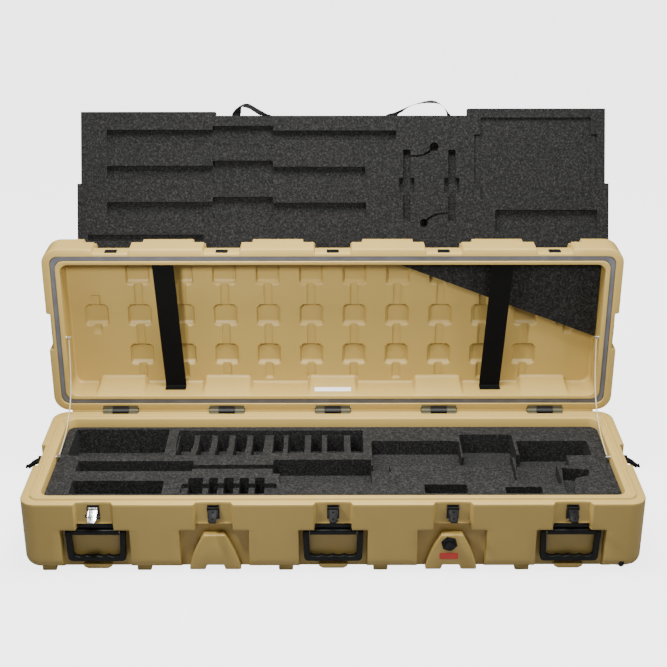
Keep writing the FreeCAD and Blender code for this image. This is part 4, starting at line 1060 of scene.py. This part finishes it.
def bracket(spot):
    """The bracket that carries the bail: a plate with bolts and a rounded cheek over the axle."""
    place = pin_frame(f"handle_{spot}_swing") @ Matrix.Translation((0, HANDLE_STAND, 0))
    plate_outline = [(-50, -8), (50, -8), (50, 8), (42, 20), (-42, 20), (-50, 8)]
    plate = prism("plate", rounded_outline(plate_outline, 2, 3), -3, 0, BLACK_METAL, "xzy",
                  placement=place)
    cover = prism("cover", rounded_outline([(-42, 8), (42, 8), (42, 22), (-42, 22)], 2, 3), -7.6, 0,
                  BLACK_METAL, "xzy", placement=place)
    parts = [bevel(plate, 0.8, 2), bevel(cover, 1.2, 2)]
    foot = -HANDLE_STAND - 5
    cheek_outline = rounded_outline([(foot, -7), (-2, -7), (-2, 7), (foot, 7)], [5, 0.5, 0.5, 5])
    cheek = prism("cheek", cheek_outline, -55, 55, BLACK_RUBBER, "yzx", placement=place)
    parts.append(bevel(cheek, 1.2, 2))
    parts.append(turned("axle", [(-64, 1.5), (-64, 2.6), (-63.4, 3), (63.4, 3), (64, 2.6), (64, 1.5)],
                        (0, -HANDLE_STAND, 0), (1, 0, 0), BRIGHT, 20, placement=place))
    for x in (-34, 34):
        parts.append(turned("bolt", [(0, 4), (0.9, 4), (1.5, 3), (1.7, 1)], (x, -7.6, 15), (0, -1, 0),
                            BLACK_METAL, 20, placement=place))
    item = join(f"handle_{spot}_mount", parts)
    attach(item, "base")
    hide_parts(f"handle_bracket_{spot}")


for handle_name in ("1", "3", "5", "left", "right"):
    bail(handle_name)
    bracket(handle_name)

# ---------------------------------------------------------------- valve, red label and wheels


def valve():
    low, high = corners("valve_body")
    centre = ((low.x + high.x) / 2, high.y, (low.z + high.z) / 2)
    hexagon = turned("flange", [(0, 19.8), (3, 19.8), (4, 18.8), (4, 12.8), (0, 12.8)], centre,
                     (0, -1, 0), BLACK_RUBBER, 6, placement=None)
    collar = turned("collar", [(2, 15), (8, 15), (9, 14), (9, 11.2), (4, 10.8), (2, 10.8)], centre,
                    (0, -1, 0), BLACK_RUBBER)
    body = join("pressure_valve_body", [hexagon, collar])
    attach(body, "base")
    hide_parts("valve_body")
    low, high = corners("valve_button")
    radius = (high.x - low.x) / 2
    depth = high.y - low.y
    button = turned("pressure_valve_button", [(0, radius), (depth - 1, radius), (depth - 0.3, radius - 0.8),
                                              (depth, radius - 2), (depth - 0.8, radius - 4)],
                    (centre[0], high.y, centre[2]), (0, -1, 0), BLACK_METAL)
    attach(button, "valve_button")
    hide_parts("valve_button")
    low, high = corners("red_label")
    label = prism("red_label_plate", box_outline(low.x, high.x, low.z, high.z, 3), low.y, high.y, RED, "xzy")
    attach(label, "base")
    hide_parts("red_label")


valve()


def wheel(word):
    low, high = corners(f"{word}_wheel")
    radius, width = (high.z - low.z) / 2, high.y - low.y
    centre = ((low.x + high.x) / 2, low.y, (low.z + high.z) / 2)
    half = [(0, 4.2), (0, 9), (2.5, 10), (2.5, radius - 5), (0, radius - 4), (0.6, radius - 1.5),
            (3, radius)]
    profile = half + [(width - across, out) for across, out in reversed(half)]
    item = turned(f"{word}_wheel_tyre", profile, centre, (0, 1, 0), TYRE, 56)
    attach(item, f"{word}_wheel")
    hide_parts(f"{word}_wheel")


wheel("front")
wheel("rear")

# ---------------------------------------------------------------- lid cables

# Each cable runs from an eye in the base's end wall to an eye in the lid's end wall.
LEFT_CABLE = [(-679, 16, 181), (-678, 62, 187), (-677, 111, 200), (-677, 156, 221), (-677, 192, 253),
              (-678, 216, 296), (-679, 230, 345), (-680, 240, 391)]
RIGHT_CABLE = [(679, 11, 181), (678, 57, 188), (677, 104, 203), (677, 147, 227), (677, 184, 260),
               (678, 210, 302), (679, 228, 347), (680, 240, 391)]
CABLE_RADIUS = 1.5


def spline_points(route):
    """Points read from the NURBS spline of a route, in millimetres."""
    data = bpy.data.curves.new("route", "CURVE")
    data.dimensions = "3D"
    data.resolution_u = 8
    line = data.splines.new("NURBS")
    line.points.add(len(route) - 1)
    for point, where in zip(line.points, route):
        point.co = (*where, 1)
    line.order_u = 3
    line.use_endpoint_u = True
    item = bpy.data.objects.new("route", data)
    bpy.context.scene.collection.objects.link(item)
    bpy.context.view_layer.update()
    mesh = bpy.data.meshes.new_from_object(item)
    found = [vertex.co.copy() for vertex in mesh.vertices]
    bpy.data.objects.remove(item)
    return found


def lid_cable(word, route):
    path = spline_points(route)
    steps = 12
    points, faces = [], []
    for index, point in enumerate(path):
        along = (path[min(index + 1, len(path) - 1)] - path[max(index - 1, 0)]).normalized()
        side = along.cross(Vector((1, 0, 0))).normalized()
        other = along.cross(side)
        for step in range(steps):
            angle = 2 * math.pi * step / steps
            points.append(point + (side * math.cos(angle) + other * math.sin(angle)) * CABLE_RADIUS)
    for row in range(len(path) - 1):
        for step in range(steps):
            a, b = row * steps + step, row * steps + (step + 1) % steps
            faces.append([a, b, b + steps, a + steps])
    faces += [list(range(steps)), list(range((len(path) - 1) * steps, len(path) * steps))[::-1]]
    tube = make(f"{word}_lid_cord", points, faces, CREAM)
    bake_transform(tube)
    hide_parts(f"{word}_lid_cable")


lid_cable("left", LEFT_CABLE)
lid_cable("right", RIGHT_CABLE)

# ---------------------------------------------------------------- stage, lights and camera


def only_for_camera(tree, strength, otherwise, into):
    """The pale surround shines white in the picture and lights the case only as much as `otherwise` says."""
    seen = tree.nodes.new("ShaderNodeLightPath").outputs["Is Camera Ray"]
    total = tree.nodes.new("ShaderNodeMath")
    total.operation = "MULTIPLY_ADD"
    total.inputs[1].default_value = strength
    total.inputs[2].default_value = otherwise
    tree.links.new(seen, total.inputs[0])
    tree.links.new(total.outputs["Value"], into)


def stage():
    reach = 60.0
    mesh = bpy.data.meshes.new("floor")
    square = [(-reach, -reach, 0), (reach, -reach, 0), (reach, reach, 0), (-reach, reach, 0)]
    mesh.from_pydata(square, [], [[0, 1, 2, 3]])
    paint = Paint("pale_floor", (0.25, 0.25, 0.25), 0.75)
    paint.shader.inputs["Emission Color"].default_value = (1, 1, 1, 1)
    only_for_camera(paint.tree, 3.5, 0.0, paint.shader.inputs["Emission Strength"])
    mesh.materials.append(paint.material)
    floor = bpy.data.objects.new("floor", mesh)
    bpy.context.scene.collection.objects.link(floor)
    world = bpy.data.worlds.new("studio")
    world.use_nodes = True
    back = world.node_tree.nodes["Background"]
    back.inputs["Color"].default_value = (1.0, 1.0, 1.0, 1)
    only_for_camera(world.node_tree, 3.5, 0.13, back.inputs["Strength"])
    bpy.context.scene.world = world


def area_light(name, place, aim, size, power):
    data = bpy.data.lights.new(name, "AREA")
    data.shape = "DISK"
    data.size = size
    data.energy = power
    item = bpy.data.objects.new(name, data)
    item.location = place
    item.rotation_euler = (Vector(aim) - Vector(place)).to_track_quat("-Z", "Y").to_euler()
    item.visible_camera = False
    bpy.context.scene.collection.objects.link(item)


def camera():
    data = bpy.data.cameras.new("camera")
    data.lens = 69.2
    data.sensor_width = 36.0
    data.shift_y = -0.051
    item = bpy.data.objects.new("camera", data)
    item.location = (-0.0053, -2.7531, 1.7957)
    item.rotation_euler = Euler((math.radians(90 - 23.349), 0, math.radians(-0.137)))
    bpy.context.scene.collection.objects.link(item)
    bpy.context.scene.camera = item


stage()
area_light("overhead", (0, -0.12, 2.3), (0, 0.05, 0.2), 1.0, 102)
area_light("key_left", (-0.5, -0.46, 0.98), (-0.1, 0.28, 0.42), 0.12, 9)
area_light("key_right", (0.6, -0.46, 0.98), (0.4, 0.28, 0.42), 0.3, 5)
area_light("side_left", (-1.4, -0.4, 1.2), (-0.2, 0.25, 0.35), 0.5, 4)
area_light("side_right", (1.4, -0.4, 1.2), (0.2, 0.25, 0.35), 0.5, 7)
area_light("rear", (0, 2.4, 1.7), (0, 0.3, 0.35), 1.2, 45)
camera()
